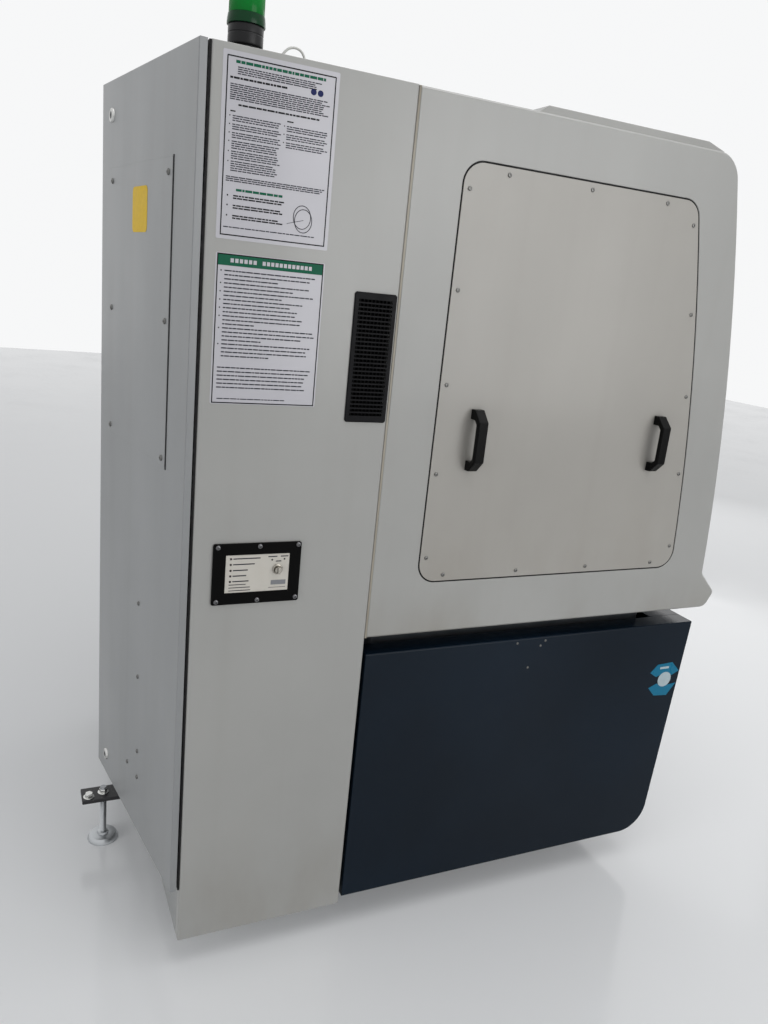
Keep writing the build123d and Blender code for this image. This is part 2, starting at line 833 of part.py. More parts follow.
with BuildPart() as door_rails:
    for top in (door_drop[0] - rail_gap - rail_height, door_drop[1] + rail_gap):
        add(across(bow_strip(*rail_insets, top, top + rail_height), *roof_x))
door_rails.part.label = "door_rails"

# Control console on the fixed right part of the front

console_x = (120.0, 540.0)
console_drop = (330.0, 860.0)
console_reach = 1528.0
console_brow = 1470.0
console_top_face = 370.0
screen_size = (340.0, 255.0)
screen_centre = (330.0, -530.0)
screen_recess = 4.0
screen_thickness = 3.0
console_chamfer = 5.0
button_drop = 770.0
stop_x, start_x, knob_x = 220.0, 330.0, 440.0
stem_radius = 9.0
stem_length = 22.0
stem_bore = 30.0
stem_clearance = 0.05
stem_sides = 12
cap_sides = 20

console_face = Plane(origin=(0, y_at(console_reach), roof_z), x_dir=(1, 0, 0), z_dir=(0, -1, 0))

with BuildPart() as console_panel:
    with BuildSketch(left_side.offset(left_x - console_x[0])):
        with BuildLine():
            back = ThreePointArc(
                (bow_reach(console_drop[0]), -console_drop[0]),
                (bow_reach(sum(console_drop) / 2), -sum(console_drop) / 2),
                (bow_reach(console_drop[1]), -console_drop[1]),
            )
            Polyline(
                back @ 0,
                (console_brow, -console_drop[0]),
                (console_reach, -console_top_face),
                (console_reach, -console_drop[1]),
                back @ 1,
            )
        make_face()
    extrude(amount=console_x[0] - console_x[1])
    chamfer(console_panel.faces().sort_by(Axis.Y)[0].edges(), length=console_chamfer)
    with BuildSketch(console_face):
        with Locations(screen_centre):
            Rectangle(*screen_size)
    extrude(amount=-screen_recess, mode=Mode.SUBTRACT)
    with BuildSketch(console_face):
        with Locations(*[(x, -button_drop) for x in (stop_x, start_x, knob_x)]):
            RegularPolygon(
                radius=stem_radius + stem_clearance, side_count=stem_sides, major_radius=False
            )
    extrude(amount=-stem_bore, mode=Mode.SUBTRACT)
console_panel.part.label = "console_panel"

with BuildPart() as console_screen:
    with BuildSketch(console_face.offset(-screen_recess)):
        with Locations(screen_centre):
            Rectangle(*screen_size)
    extrude(amount=screen_thickness)
console_screen.part.label = "console_screen"


def console_button(centre_x, cap_radius, cap_gap, cap_height, cap_edge):
    """A round cap on a stem that runs in one of the console's bores."""
    with BuildPart() as button:
        with BuildSketch(console_face.offset(cap_gap)):
            with Locations((centre_x, -button_drop)):
                RegularPolygon(radius=stem_radius, side_count=stem_sides)
        extrude(amount=-cap_gap - stem_length)
        with BuildSketch(console_face.offset(cap_gap)):
            with Locations((centre_x, -button_drop)):
                RegularPolygon(radius=cap_radius, side_count=cap_sides)
        extrude(amount=cap_height)
        chamfer(button.faces().sort_by(Axis.Y)[0].edges(), length=cap_edge)
    return button.part


knob_gap = 1.0
knob_height = 18.0
pointer_offset = 8.0
pointer_size = (2.5, 14.0)
pointer_rise = 1.0

with BuildPart() as emergency_stop:
    add(console_button(stop_x, cap_radius=20.0, cap_gap=8.0, cap_height=14.0, cap_edge=5.0))
emergency_stop.part.label = "emergency_stop"

with BuildPart() as start_button:
    add(console_button(start_x, cap_radius=14.0, cap_gap=4.0, cap_height=5.0, cap_edge=1.0))
start_button.part.label = "start_button"

with BuildPart() as override_knob:
    add(console_button(knob_x, cap_radius=17.0, cap_gap=knob_gap, cap_height=knob_height, cap_edge=2.0))
    with BuildSketch(console_face.offset(knob_gap + knob_height)):
        with Locations((knob_x, -button_drop + pointer_offset)):
            Rectangle(*pointer_size)
    extrude(amount=pointer_rise)
override_knob.part.label = "override_knob"

# Plinth: dark covers round the base, with a rounded toe at the front

plinth_reach = 440.0
plinth_top = 1292.0
plinth_bottom = 2012.0
plinth_front_top = 1520.0
plinth_front_bottom = 1481.5
toe_radius = 92.0
plinth_flange = 60.0
plinth_edge = 3.0
plinth_front_reach = 1405.0

with BuildSketch() as plinth_outline:
    with BuildLine():
        Polyline(
            (plinth_reach, -plinth_top),
            (plinth_front_top, -plinth_top),
            (plinth_front_bottom, -plinth_bottom),
            (plinth_reach, -plinth_bottom),
            close=True,
        )
    make_face()
    fillet(nearest(plinth_outline, (plinth_front_bottom, -plinth_bottom)), radius=toe_radius)

with BuildPart() as plinth_side_left:
    add(pan(plinth_outline.sketch, plinth_flange, plinth_edge))
plinth_side_left.part.label = "plinth_side_left"

with BuildPart() as plinth_side_right:
    mirror(plinth_side_left.part, about=Plane.YZ)
plinth_side_right.part.label = "plinth_side_right"

with BuildSketch() as plinth_front_section:
    add(plinth_outline.sketch)
    offset(plinth_outline.sketch, amount=-sheet, mode=Mode.SUBTRACT)
    with Locations((plinth_front_reach, 0)):
        Rectangle(plinth_bottom, 4 * plinth_bottom, align=(Align.MIN, Align.CENTER), mode=Mode.INTERSECT)

with BuildPart() as plinth_front:
    add(across(plinth_front_section.sketch, left_x + plinth_flange, right_x - plinth_flange))
plinth_front.part.label = "plinth_front"

# Machine bed: one mineral casting that stands on levelling feet

bed_half = 560.0
bed_reach = (470.0, 1400.0)
bed_z = (140.0, 857.0)
bridge_half = 440.0
bridge_reach = (550.0, 1230.0)
bridge_z = 880.0
bed_corner = 20.0
boss_side = 110.0
boss_drop = 40.0
stud_radius = 10.0
stud_socket = 20.0
stud_sides = 6
foot_sides = 14
foot_radius = 45.0
foot_height = 16.0
foot_taper = 25.0
bed_studs = [(x, y_at(reach)) for x in (-480.0, 480.0) for reach in (560.0, 1310.0)]
tray_half = 625.0
tray_reach = (enclosure_reach, 1540.0)
tray_z = (857.0, z_at(enclosure_drop))

with BuildPart() as machine_bed:
    add(block((-bed_half, bed_half), bed_reach, bed_z))
    chamfer(machine_bed.edges().filter_by(Axis.Z), length=bed_corner)
    add(block((-bridge_half, bridge_half), bridge_reach, (bed_z[1], bridge_z)))
    with BuildSketch(Plane.XY.offset(bed_z[0] - boss_drop)):
        with Locations(*bed_studs):
            Rectangle(boss_side, boss_side)
    extrude(amount=boss_drop)
    with BuildSketch(Plane.XY.offset(bed_z[0] - boss_drop)):
        with Locations(*bed_studs):
            RegularPolygon(radius=stud_radius, side_count=stud_sides)
    extrude(amount=boss_drop + stud_socket, mode=Mode.SUBTRACT)
machine_bed.part.label = "machine_bed"

with BuildPart() as chamber_tray:
    add(block((-tray_half, tray_half), tray_reach, tray_z))
    add(block((-bridge_half, bridge_half), bridge_reach, tray_z), mode=Mode.SUBTRACT)
chamber_tray.part.label = "chamber_tray"

# Rear foot: an angle bracket under the cabinet's back, on a levelling stud

bracket_half = 33.0
bracket_middle = -88.0
bracket_stud_reach = -120.0
bracket_plate = 12.0
bracket_z = 145.0
bracket_top_z = 224.0
bracket_x = (bracket_middle - bracket_half, bracket_middle + bracket_half)
bracket_stud = (bracket_middle, y_at(bracket_stud_reach))
bracket_stud_rise = 20.0

with BuildPart() as foot_bracket:
    add(block(bracket_x, (-bracket_reach, 0), (bracket_z, bracket_z + bracket_plate)))
    add(block(bracket_x, (-bracket_plate, 0), (bracket_z, bracket_top_z)))
    with BuildSketch(Plane.XY.offset(bracket_z)):
        with Locations(bracket_stud):
            RegularPolygon(radius=stud_radius, side_count=stud_sides)
    extrude(amount=bracket_plate, mode=Mode.SUBTRACT)
foot_bracket.part.label = "foot_bracket"

with BuildPart() as levelling_feet:
    with BuildSketch():
        with Locations(*bed_studs, bracket_stud):
            RegularPolygon(radius=foot_radius, side_count=foot_sides)
    extrude(amount=foot_height, taper=foot_taper)
    with BuildSketch(Plane.XY.offset(foot_height)):
        with Locations(*bed_studs):
            RegularPolygon(radius=stud_radius, side_count=stud_sides)
    extrude(amount=bed_z[0] + stud_socket - foot_height)
    with BuildSketch(Plane.XY.offset(foot_height)):
        with Locations(bracket_stud):
            RegularPolygon(radius=stud_radius, side_count=stud_sides)
    extrude(amount=bracket_z + bracket_plate + bracket_stud_rise - foot_height)
levelling_feet.part.label = "levelling_feet"

# Signal lamp on the cabinet roof, with its short cable

lamp_foot_radius = 33.0
lamp_foot_height = 18.0
lamp_collar_radius = 35.0
lamp_collar_height = 37.0
lens_radius = 38.0
lens_height = 95.0
lens_dome = 12.0
lamp_sides = 28
lens_z = roof_z + lamp_foot_height + lamp_collar_height

with BuildPart() as beacon_base:
    with BuildSketch(Plane.XY.offset(roof_z)):
        with Locations((lamp_x, y_at(lamp_reach))):
            RegularPolygon(radius=lamp_foot_radius, side_count=lamp_sides)
    extrude(amount=lamp_foot_height)
    with BuildSketch(Plane.XY.offset(roof_z + lamp_foot_height)):
        with Locations((lamp_x, y_at(lamp_reach))):
            RegularPolygon(radius=lamp_collar_radius, side_count=lamp_sides)
    extrude(amount=lamp_collar_height)
beacon_base.part.label = "beacon_base"

with BuildPart() as beacon_lens:
    with BuildSketch(Plane.XY.offset(lens_z)):
        with Locations((lamp_x, y_at(lamp_reach))):
            RegularPolygon(radius=lens_radius, side_count=lamp_sides)
    extrude(amount=lens_height)
    chamfer(beacon_lens.faces().sort_by(Axis.Z)[-1].edges(), length=lens_dome, length2=lens_dome / 2)
beacon_lens.part.label = "beacon_lens"

# The lamp's cable: out of the foot, up in a low arch and down through the roof

cable_gap = 0.5
cable_bend = 0.45
cable_points = [
    (lamp_reach + lamp_foot_radius + cable_gap, 9.0),
    (156.0, 11.0),
    (174.0, 37.0),
    (201.0, 37.0),
    (cable_reach, 13.0),
    (cable_reach, -6.0),
]
cable_radii = []
for before, corner, after in zip(cable_points, cable_points[1:], cable_points[2:]):
    arriving = Vector(corner[0] - before[0], corner[1] - before[1])
    leaving = Vector(after[0] - corner[0], after[1] - corner[1])
    turn = radians(arriving.get_angle(leaving))
    cable_radii.append(cable_bend * min(arriving.length, leaving.length) / tan(turn / 2))
print("cable radii", [round(radius, 1) for radius in cable_radii])

cable_plane = Plane(origin=(lamp_x, rear_y, roof_z), x_dir=(0, -1, 0), z_dir=(-1, 0, 0))
with BuildPart() as beacon_cable:
    with BuildLine(cable_plane) as cable_route:
        FilletPolyline(*cable_points, radius=cable_radii)
    with BuildSketch(Plane(origin=cable_route.line @ 0, x_dir=(1, 0, 0), z_dir=cable_route.line % 0)):
        Rectangle(2 * cable_radius, 2 * cable_radius)
    sweep()
beacon_cable.part.label = "beacon_cable"

# Grinding mechanism: cross rails, moving column, spindle head, wheel pack

rail_width = 28.0
rail_height_above = 25.0
column_rail_reaches = (610.0, 750.0)
table_rail_x = (-150.0, 150.0)
table_rail_reach = (820.0, 1210.0)
rail_end_gap = 10.0
slide_gap = 1.0
rail_top = bridge_z + rail_height_above

with BuildPart() as bed_rails:
    for reach in column_rail_reaches:
        span = (reach - rail_width / 2, reach + rail_width / 2)
        add(block((rail_end_gap - bridge_half, bridge_half - rail_end_gap), span, (bridge_z, rail_top)))
    for x in table_rail_x:
        span = (x - rail_width / 2, x + rail_width / 2)
        add(block(span, table_rail_reach, (bridge_z, rail_top)))
bed_rails.part.label = "bed_rails"

column_half = 130.0
column_foot_half = 160.0
column_reach = (585.0, 700.0)
column_foot_reach = (580.0, 785.0)
column_z = (rail_top + slide_gap, 1780.0)
column_foot_top = 975.0
column_chamfer = 15.0
slideway_x = (-70.0, 70.0)
slideway_width = 28.0
slideway_reach = (700.0, 718.0)
slideway_z = (995.0, 1740.0)

with BuildPart() as wheel_column:
    add(block((-column_foot_half, column_foot_half), column_foot_reach, (column_z[0], column_foot_top)))
    add(block((-column_half, column_half), column_reach, (column_foot_top, column_z[1])))
    chamfer(wheel_column.faces().sort_by(Axis.Z)[-1].edges(), length=column_chamfer)
    for x in slideway_x:
        span = (x - slideway_width / 2, x + slideway_width / 2)
        add(block(span, slideway_reach, slideway_z))
wheel_column.part.label = "wheel_column"

head_half = 90.0
head_reach = (slideway_reach[1] + slide_gap, 800.0)
head_z = (1200.0, 1500.0)
head_corner = 14.0
saddle_x = (-90.0, 50.0)
saddle_z = (1290.0, 1410.0)
spindle_z = 1350.0
spindle_reach = 885.0
spindle_radius = 68.0
spindle_x = (-190.0, 70.0)
nose_radius = 42.0
nose_length = 16.0
bore_radius = 18.0
bore_depth = 60.0
arbor_length = 50.0
arbor_clearance = 0.05
spindle_sides = 22
arbor_sides = 12

spindle_plane = Plane(
    origin=(spindle_x[1], y_at(spindle_reach), spindle_z), x_dir=(0, -1, 0), z_dir=(1, 0, 0)
)

with BuildPart() as spindle_head:
    add(block((-head_half, head_half), head_reach, head_z))
    chamfer(spindle_head.edges().filter_by(Axis.Y), length=head_corner)
    add(block(saddle_x, (head_reach[0], spindle_reach), saddle_z))
    with BuildSketch(spindle_plane):
        RegularPolygon(radius=spindle_radius, side_count=spindle_sides)
    extrude(amount=spindle_x[0] - spindle_x[1])
    with BuildSketch(spindle_plane):
        RegularPolygon(radius=nose_radius, side_count=spindle_sides)
    extrude(amount=nose_length)
    with BuildSketch(spindle_plane.offset(nose_length)):
        RegularPolygon(
            radius=bore_radius + arbor_clearance, side_count=arbor_sides, major_radius=False
        )
    extrude(amount=-bore_depth, mode=Mode.SUBTRACT)
spindle_head.part.label = "spindle_head"

# Grinding wheels and spacers on one arbor, each a radius, a thickness and a count of sides

wheel_gap = 3.0
wheel_sides = 20
spacer_sides = 10
wheel_stack = [
    (36.0, 6.0, spacer_sides),
    (75.0, 12.0, wheel_sides),
    (30.0, 14.0, spacer_sides),
    (62.0, 10.0, wheel_sides),
    (30.0, 12.0, spacer_sides),
    (50.0, 14.0, wheel_sides),
    (22.0, 10.0, spacer_sides),
]

with BuildPart() as wheel_pack:
    stack_start = nose_length + wheel_gap
    with BuildSketch(spindle_plane.offset(stack_start)):
        RegularPolygon(radius=bore_radius, side_count=arbor_sides)
    extrude(amount=-arbor_length)
    for radius, thickness, sides in wheel_stack:
        with BuildSketch(spindle_plane.offset(stack_start)):
            RegularPolygon(radius=radius, side_count=sides)
        extrude(amount=thickness)
        stack_start += thickness
wheel_pack.part.label = "wheel_pack"

# Work table, workhead and collet spindle

table_half = 200.0
table_reach = (1020.0, 1200.0)
table_z = (rail_top + slide_gap, 950.0)
table_chamfer = 6.0
pivot_reach = 1110.0
pivot_radius = 20.0
pivot_length = 25.0
pivot_bore = 30.0
pivot_clearance = 0.05
pivot_sides = 12
turntable_radius = 85.0
turntable_sides = 24
turntable_z = (table_z[1] + slide_gap, table_z[1] + slide_gap + 25.0)
workhead_half = 65.0
workhead_reach = (1040.0, 1195.0)
workhead_top = 1140.0
workhead_fillet = 25.0
collet_z = 1075.0
collet_depth = 60.0
collet_shaft_radius = 30.0
collet_shaft_length = 55.0
collet_flange = 8.0
collet_nose_radius = 24.0
collet_nose_length = 37.0
collet_nose_chamfer = 6.0
collet_bore_radius = 6.0
collet_bore_depth = 30.0
collet_sides = 16

with BuildPart() as work_table:
    add(block((-table_half, table_half), table_reach, table_z))
    chamfer(work_table.faces().sort_by(Axis.Z)[-1].edges(), length=table_chamfer)
    with BuildSketch(Plane.XY.offset(table_z[1])):
        with Locations((0, y_at(pivot_reach))):
            RegularPolygon(
                radius=pivot_radius + pivot_clearance, side_count=pivot_sides, major_radius=False
            )
    extrude(amount=-pivot_bore, mode=Mode.SUBTRACT)
work_table.part.label = "work_table"

collet_face = Plane(origin=(0, y_at(workhead_reach[0]), collet_z), x_dir=(-1, 0, 0), z_dir=(0, 1, 0))

with BuildPart() as workhead:
    with BuildSketch(Plane.XY.offset(turntable_z[0])):
        with Locations((0, y_at(pivot_reach))):
            RegularPolygon(radius=turntable_radius, side_count=turntable_sides)
    extrude(amount=turntable_z[1] - turntable_z[0])
    with BuildSketch(Plane.XY.offset(turntable_z[0])):
        with Locations((0, y_at(pivot_reach))):
            RegularPolygon(radius=pivot_radius, side_count=pivot_sides)
    extrude(amount=-pivot_length)
    add(block((-workhead_half, workhead_half), workhead_reach, (turntable_z[1], workhead_top)))
    fillet(workhead.edges().filter_by(Axis.Y).sort_by(Axis.Z)[-2:], radius=workhead_fillet)
    with BuildSketch(collet_face):
        RegularPolygon(
            radius=collet_shaft_radius + pivot_clearance, side_count=collet_sides, major_radius=False
        )
    extrude(amount=-collet_depth, mode=Mode.SUBTRACT)
workhead.part.label = "workhead"

with BuildPart() as collet_spindle:
    with BuildSketch(collet_face.offset(collet_flange)):
        RegularPolygon(radius=collet_shaft_radius, side_count=collet_sides)
    extrude(amount=-collet_flange - collet_shaft_length)
    with BuildSketch(collet_face.offset(collet_flange)):
        RegularPolygon(radius=collet_nose_radius, side_count=collet_sides)
    extrude(amount=collet_nose_length)
    chamfer(collet_spindle.faces().sort_by(Axis.Y)[-1].edges(), length=collet_nose_chamfer)
    with BuildSketch(collet_face.offset(collet_flange + collet_nose_length)):
        RegularPolygon(radius=collet_bore_radius, side_count=pivot_sides)
    extrude(amount=-collet_bore_depth, mode=Mode.SUBTRACT)
collet_spindle.part.label = "collet_spindle"

# Write one file for each piece. The handles stand out on the left, so the origin is moved to lie
# below the middle of the whole machine.

pieces = [
    machine_bed, levelling_feet, foot_bracket, plinth_side_left, plinth_side_right, plinth_front,
    cabinet_side_left, cabinet_side_right, cabinet_roof, cabinet_bulkhead,
    cabinet_rear_frame, door_gaskets, frame_hinges, mounting_plate, wiring_ducts, servo_drives,
    contactors, vent_grille, display_bezel, display_plate, key_switch, seam_seal,
    enclosure_side_left, enclosure_side_right, enclosure_roof, roof_lid, hatch, hatch_seal,
    hatch_screws, hatch_handles, front_frame, door_rails, chamber_tray,
    console_panel, console_screen, emergency_stop, start_button, override_knob,
    beacon_base, beacon_lens, beacon_cable, front_door, front_door_window, front_door_handle,
    rear_door_left, rear_door_cover_plate, lock_bodies_left, rear_door_right, lock_bodies_right,
    bed_rails, wheel_column, spindle_head, wheel_pack, work_table, workhead, collet_spindle,
]
pieces += lock_cores

centring = Location((handle_standoff / 2, 0, 0))
os.makedirs("parts", exist_ok=True)
for piece in pieces:
    export_step(piece.part.moved(centring), f"parts/{piece.part.label}.step")
print(len(pieces), "pieces")
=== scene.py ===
import json
import math
import random

import bmesh
import bpy
from mathutils import Matrix, Vector


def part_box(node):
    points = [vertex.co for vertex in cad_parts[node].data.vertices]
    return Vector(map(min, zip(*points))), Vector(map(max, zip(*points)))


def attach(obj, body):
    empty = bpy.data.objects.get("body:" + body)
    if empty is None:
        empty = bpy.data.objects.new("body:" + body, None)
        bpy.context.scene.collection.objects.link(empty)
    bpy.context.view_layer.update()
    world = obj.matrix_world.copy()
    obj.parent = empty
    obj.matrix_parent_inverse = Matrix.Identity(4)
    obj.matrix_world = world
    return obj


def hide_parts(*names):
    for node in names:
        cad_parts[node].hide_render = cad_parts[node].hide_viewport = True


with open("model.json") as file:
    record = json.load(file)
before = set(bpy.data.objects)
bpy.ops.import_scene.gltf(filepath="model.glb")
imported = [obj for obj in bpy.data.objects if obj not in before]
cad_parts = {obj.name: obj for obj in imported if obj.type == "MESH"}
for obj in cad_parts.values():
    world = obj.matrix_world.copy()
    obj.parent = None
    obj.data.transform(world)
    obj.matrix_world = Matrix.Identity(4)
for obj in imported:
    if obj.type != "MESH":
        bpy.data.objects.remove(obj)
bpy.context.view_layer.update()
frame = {"nodes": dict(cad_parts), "record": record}

# The room: the camera stands beside the cabinet's back corner at eye height. The floor is pale and
# slightly glossy, with a wide soft lamp overhead and softboxes on its left, behind it and in front.

focal_length = 28.69        # millimetres, on a sensor 36 mm high
camera_place = Vector((-2.314, 1.053, 1.699))
camera_right = Vector((-0.4042, -0.9094, 0.0988))
camera_up = Vector((0.2804, -0.0214, 0.9596))
camera_back = camera_right.cross(camera_up)
camera_turn = Matrix((camera_right, camera_up, camera_back)).transposed().to_quaternion()
camera_data = bpy.data.cameras.new("camera")
camera_data.lens = focal_length
camera_data.clip_end = 60
camera = bpy.data.objects.new("camera", camera_data)
camera.matrix_world = Matrix.LocRotScale(camera_place, camera_turn, None)
bpy.context.collection.objects.link(camera)
bpy.context.scene.camera = camera
bpy.context.scene.view_settings.view_transform = "Standard"


def softbox(name, place, aim, size, power):
    """A square area lamp that faces a point."""
    lamp = bpy.data.lights.new(name, "AREA")
    lamp.size = size
    lamp.energy = power
    stand = bpy.data.objects.new(name, lamp)
    turn = (Vector(aim) - Vector(place)).to_track_quat("-Z", "Y")
    stand.matrix_world = Matrix.LocRotScale(Vector(place), turn, None)
    bpy.context.collection.objects.link(stand)
    return stand


softbox("overhead_lamp", (-1.0, -0.5, 4.8), (-0.2, -0.3, 0.8), 3.6, 62)
softbox("left_softbox", (-5.2, -2.4, 2.2), (-0.6, -0.4, 0.8), 3.0, 80)
rear_softbox = softbox("rear_softbox", (-1.5, 4.4, 1.3), (-0.3, 0.7, 0.5), 2.0, 38)
rear_softbox.visible_glossy = False     # so that it isn't seen as a white patch in the floor
softbox("front_softbox", (3.4, -4.8, 2.4), (0.2, -0.5, 0.9), 3.0, 26)

world = bpy.data.worlds.new("room")
world.use_nodes = True
bpy.context.scene.world = world
room = world.node_tree
room_light = room.nodes["Background"]
room_light.inputs["Color"].default_value = (0.97, 0.98, 1.0, 1)
room_light.inputs["Strength"].default_value = 0.36
room_seen = room.nodes.new("ShaderNodeBackground")
room_seen.inputs["Color"].default_value = (0.93, 0.935, 0.94, 1)


def seen_plain(tree):
    """1 where the eye, a gloss or glass sees the plain background, and 0 for the light that it gives."""
    ray = tree.nodes.new("ShaderNodeLightPath")
    seen = ray.outputs["Is Camera Ray"]
    for way in ("Is Glossy Ray", "Is Transmission Ray"):
        either = tree.nodes.new("ShaderNodeMath")
        either.operation = "MAXIMUM"
        tree.links.new(seen, either.inputs[0])
        tree.links.new(ray.outputs[way], either.inputs[1])
        seen = either.outputs[0]
    return seen


room_mix = room.nodes.new("ShaderNodeMixShader")
room.links.new(seen_plain(room), room_mix.inputs[0])
room.links.new(room_light.outputs[0], room_mix.inputs[1])
room.links.new(room_seen.outputs[0], room_mix.inputs[2])
room.links.new(room_mix.outputs[0], room.nodes["World Output"].inputs[0])


def linear(*seen):
    """A shader colour from the three values from 0 to 255 seen on a screen."""
    return tuple(((c / 255 + 0.055) / 1.055) ** 2.4 if c > 10 else c / 255 / 12.92 for c in seen)


class Finish:
    """A material while it is mixed: its shader, and patterns measured in metres on the machine."""

    def __init__(self, name, colour, roughness, metallic=0.0):
        self.material = bpy.data.materials.new(name)
        self.material.use_nodes = True
        self.nodes = self.material.node_tree.nodes
        self.links = self.material.node_tree.links
        self.shader = self.nodes["Principled BSDF"]
        self.shader.inputs["Base Color"].default_value = (*colour, 1)
        self.shader.inputs["Roughness"].default_value = roughness
        self.shader.inputs["Metallic"].default_value = metallic
        self.place = self.nodes.new("ShaderNodeTexCoord").outputs["Object"]

    def add(self, kind, **settings):
        """A new node of this kind, with its settings made."""
        node = self.nodes.new(kind)
        for name, value in settings.items():
            setattr(node, name, value)
        return node

    def feed(self, socket, value):
        """Link a pattern to a socket, or set a plain value there."""
        if hasattr(value, "links"):
            self.links.new(value, socket)
        else:
            socket.default_value = value

    def maths(self, operation, first, second=0.0):
        """One value worked out from two."""
        node = self.add("ShaderNodeMath", operation=operation)
        self.feed(node.inputs[0], first)
        self.feed(node.inputs[1], second)
        return node.outputs[0]

    def noise(self, scale, detail=2.0, stretch=(1, 1, 1)):
        """Cloudy values from 0 to 1, this many clouds a metre, drawn out along an axis by a small factor."""
        mapping = self.add("ShaderNodeMapping")
        mapping.inputs["Scale"].default_value = stretch
        self.links.new(self.place, mapping.inputs["Vector"])
        node = self.add("ShaderNodeTexNoise")
        node.inputs["Scale"].default_value = scale
        node.inputs["Detail"].default_value = detail
        self.links.new(mapping.outputs["Vector"], node.inputs["Vector"])
        return node.outputs["Fac"]

    def ramp(self, value, low, high, start=0.0, end=1.0):
        """A value carried from one range to another, held at its ends."""
        node = self.add("ShaderNodeMapRange", clamp=True)
        for socket, number in zip(node.inputs[1:5], (low, high, start, end)):
            socket.default_value = number
        self.feed(node.inputs[0], value)
        return node.outputs[0]

    def axis(self, name):
        """One coordinate of the place."""
        if not hasattr(self, "parted"):
            self.parted = self.add("ShaderNodeSeparateXYZ")
            self.links.new(self.place, self.parted.inputs[0])
        return self.parted.outputs[name]

    def mix(self, factor, first, second):
        """Two colours mixed by a factor."""
        node = self.add("ShaderNodeMix", data_type="RGBA")
        self.feed(node.inputs[0], factor)
        self.feed(node.inputs[6], (*first, 1) if isinstance(first, tuple) else first)
        self.feed(node.inputs[7], (*second, 1) if isinstance(second, tuple) else second)
        return node.outputs[2]

    def paint(self, colour):
        self.links.new(colour, self.shader.inputs["Base Color"])

    def mottle(self, scale, detail, first, second):
        """Two tones in cloudy patches."""
        self.paint(self.mix(self.noise(scale, detail), first, second))

    def gloss(self, roughness):
        self.links.new(roughness, self.shader.inputs["Roughness"])

    def patchy(self, scale, detail, low, high, *roughness):
        """A roughness that wanders between two values in patches."""
        self.gloss(self.ramp(self.noise(scale, detail), low, high, *roughness))

    def mirror(self, level):
        """How much of a light straight ahead the surface mirrors: 0.5 is plain gloss."""
        self.shader.inputs["Specular IOR Level"].default_value = level

    def relief(self, height, depth):
        """Relief of this depth in metres."""
        node = self.add("ShaderNodeBump")
        node.inputs["Distance"].default_value = depth
        self.links.new(height, node.inputs["Height"])
        self.links.new(node.outputs["Normal"], self.shader.inputs["Normal"])

    def coat(self, weight, roughness):
        self.shader.inputs["Coat Weight"].default_value = weight
        self.shader.inputs["Coat Roughness"].default_value = roughness


floor_finish = Finish("pale_floor", linear(228, 229, 230), 0.22)
floor_finish.patchy(1.6, 4, 0.35, 0.7, 0.09, 0.20)
floor_finish.shader.inputs["Emission Color"].default_value = (0.93, 0.95, 0.97, 1)
floor_glow = 0.10
floor_pale = floor_finish.maths("MULTIPLY", seen_plain(floor_finish.material.node_tree), floor_glow)
floor_finish.feed(floor_finish.shader.inputs["Emission Strength"], floor_pale)
floor_half = 14.0
floor_corners = [(-floor_half, -floor_half, 0), (floor_half, -floor_half, 0)]
floor_corners += [(floor_half, floor_half, 0), (-floor_half, floor_half, 0)]
floor_mesh = bpy.data.meshes.new("floor")
floor_mesh.from_pydata(floor_corners, [], [(0, 1, 2, 3)])
floor_mesh.materials.append(floor_finish.material)
floor = bpy.data.objects.new("floor", floor_mesh)
bpy.context.collection.objects.link(floor)

# Machine bed: a mineral casting painted dark grey, darker than the other castings as painted shade, so that
# the gap between the enclosure and the plinth reads as dark as its shadow. The imported solid is kept as it
# is, joined up and with its edges broken by a small round, as a foundry leaves them.

nodes = frame["nodes"]
behaviour = frame["record"]["behaviour"]
body_of = {node: body for body, names in behaviour["bodies"].items() for node in names}
slot_of = {part["node"]: part["material_slot"] for part in frame["record"]["subparts"]}


def piece(name, mesh, finish, body, slot, *stands_for, smooth=40):
    """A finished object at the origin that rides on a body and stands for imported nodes."""
    if finish:
        mesh.materials.clear()
        mesh.materials.append(finish.material)
    mesh.shade_smooth()
    mesh.set_sharp_from_angle(angle=math.radians(smooth))
    made = bpy.data.objects.new(name, mesh)
    bpy.context.collection.objects.link(made)
    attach(made, body)
    if stands_for:
        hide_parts(*stands_for)
    return made


def broken(made, width, segments=2, least_turn=28):
    """Round the sharp edges of a piece."""
    edge = made.modifiers.new("broken edge", "BEVEL")
    edge.width = width
    edge.segments = segments
    edge.limit_method = "ANGLE"
    edge.angle_limit = math.radians(least_turn)
    shading = made.modifiers.new("flat faces", "WEIGHTED_NORMAL")
    shading.keep_sharp = True
    return made


def closed_mesh(work, name):
    """A worked shape as a mesh, with its faces outward."""
    bmesh.ops.recalc_face_normals(work, faces=work.faces)
    mesh = bpy.data.meshes.new(name)
    work.to_mesh(mesh)
    work.free()
    return mesh


def joined_up(node):
    """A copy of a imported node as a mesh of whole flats."""
    work = bmesh.new()
    work.from_mesh(nodes[node].data)
    bmesh.ops.remove_doubles(work, verts=work.verts, dist=2e-6)
    bmesh.ops.dissolve_limit(work, angle_limit=math.radians(0.4), verts=work.verts, edges=work.edges)
    return closed_mesh(work, node + "_finished")


def eased(node, finish, width, segments=2, least_turn=28):
    """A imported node's own shape with its sharp edges rounded."""
    mesh = joined_up(node)
    made = piece(node + "_finished", mesh, finish, body_of[node], slot_of[node], node, smooth=least_turn)
    return broken(made, width, segments, least_turn)


def dress(finish, *names):
    """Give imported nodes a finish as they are."""
    for name in names:
        slots = nodes[name].material_slots
        if not slots:
            nodes[name].data.materials.append(finish.material)
        for held in slots:
            held.material = finish.material


def shaded(colour, *factors):
    """A colour taken down or up, by one factor or by one for each of its three parts."""
    return tuple(part * factor for part, factor in zip(colour, factors * (3 // len(factors))))


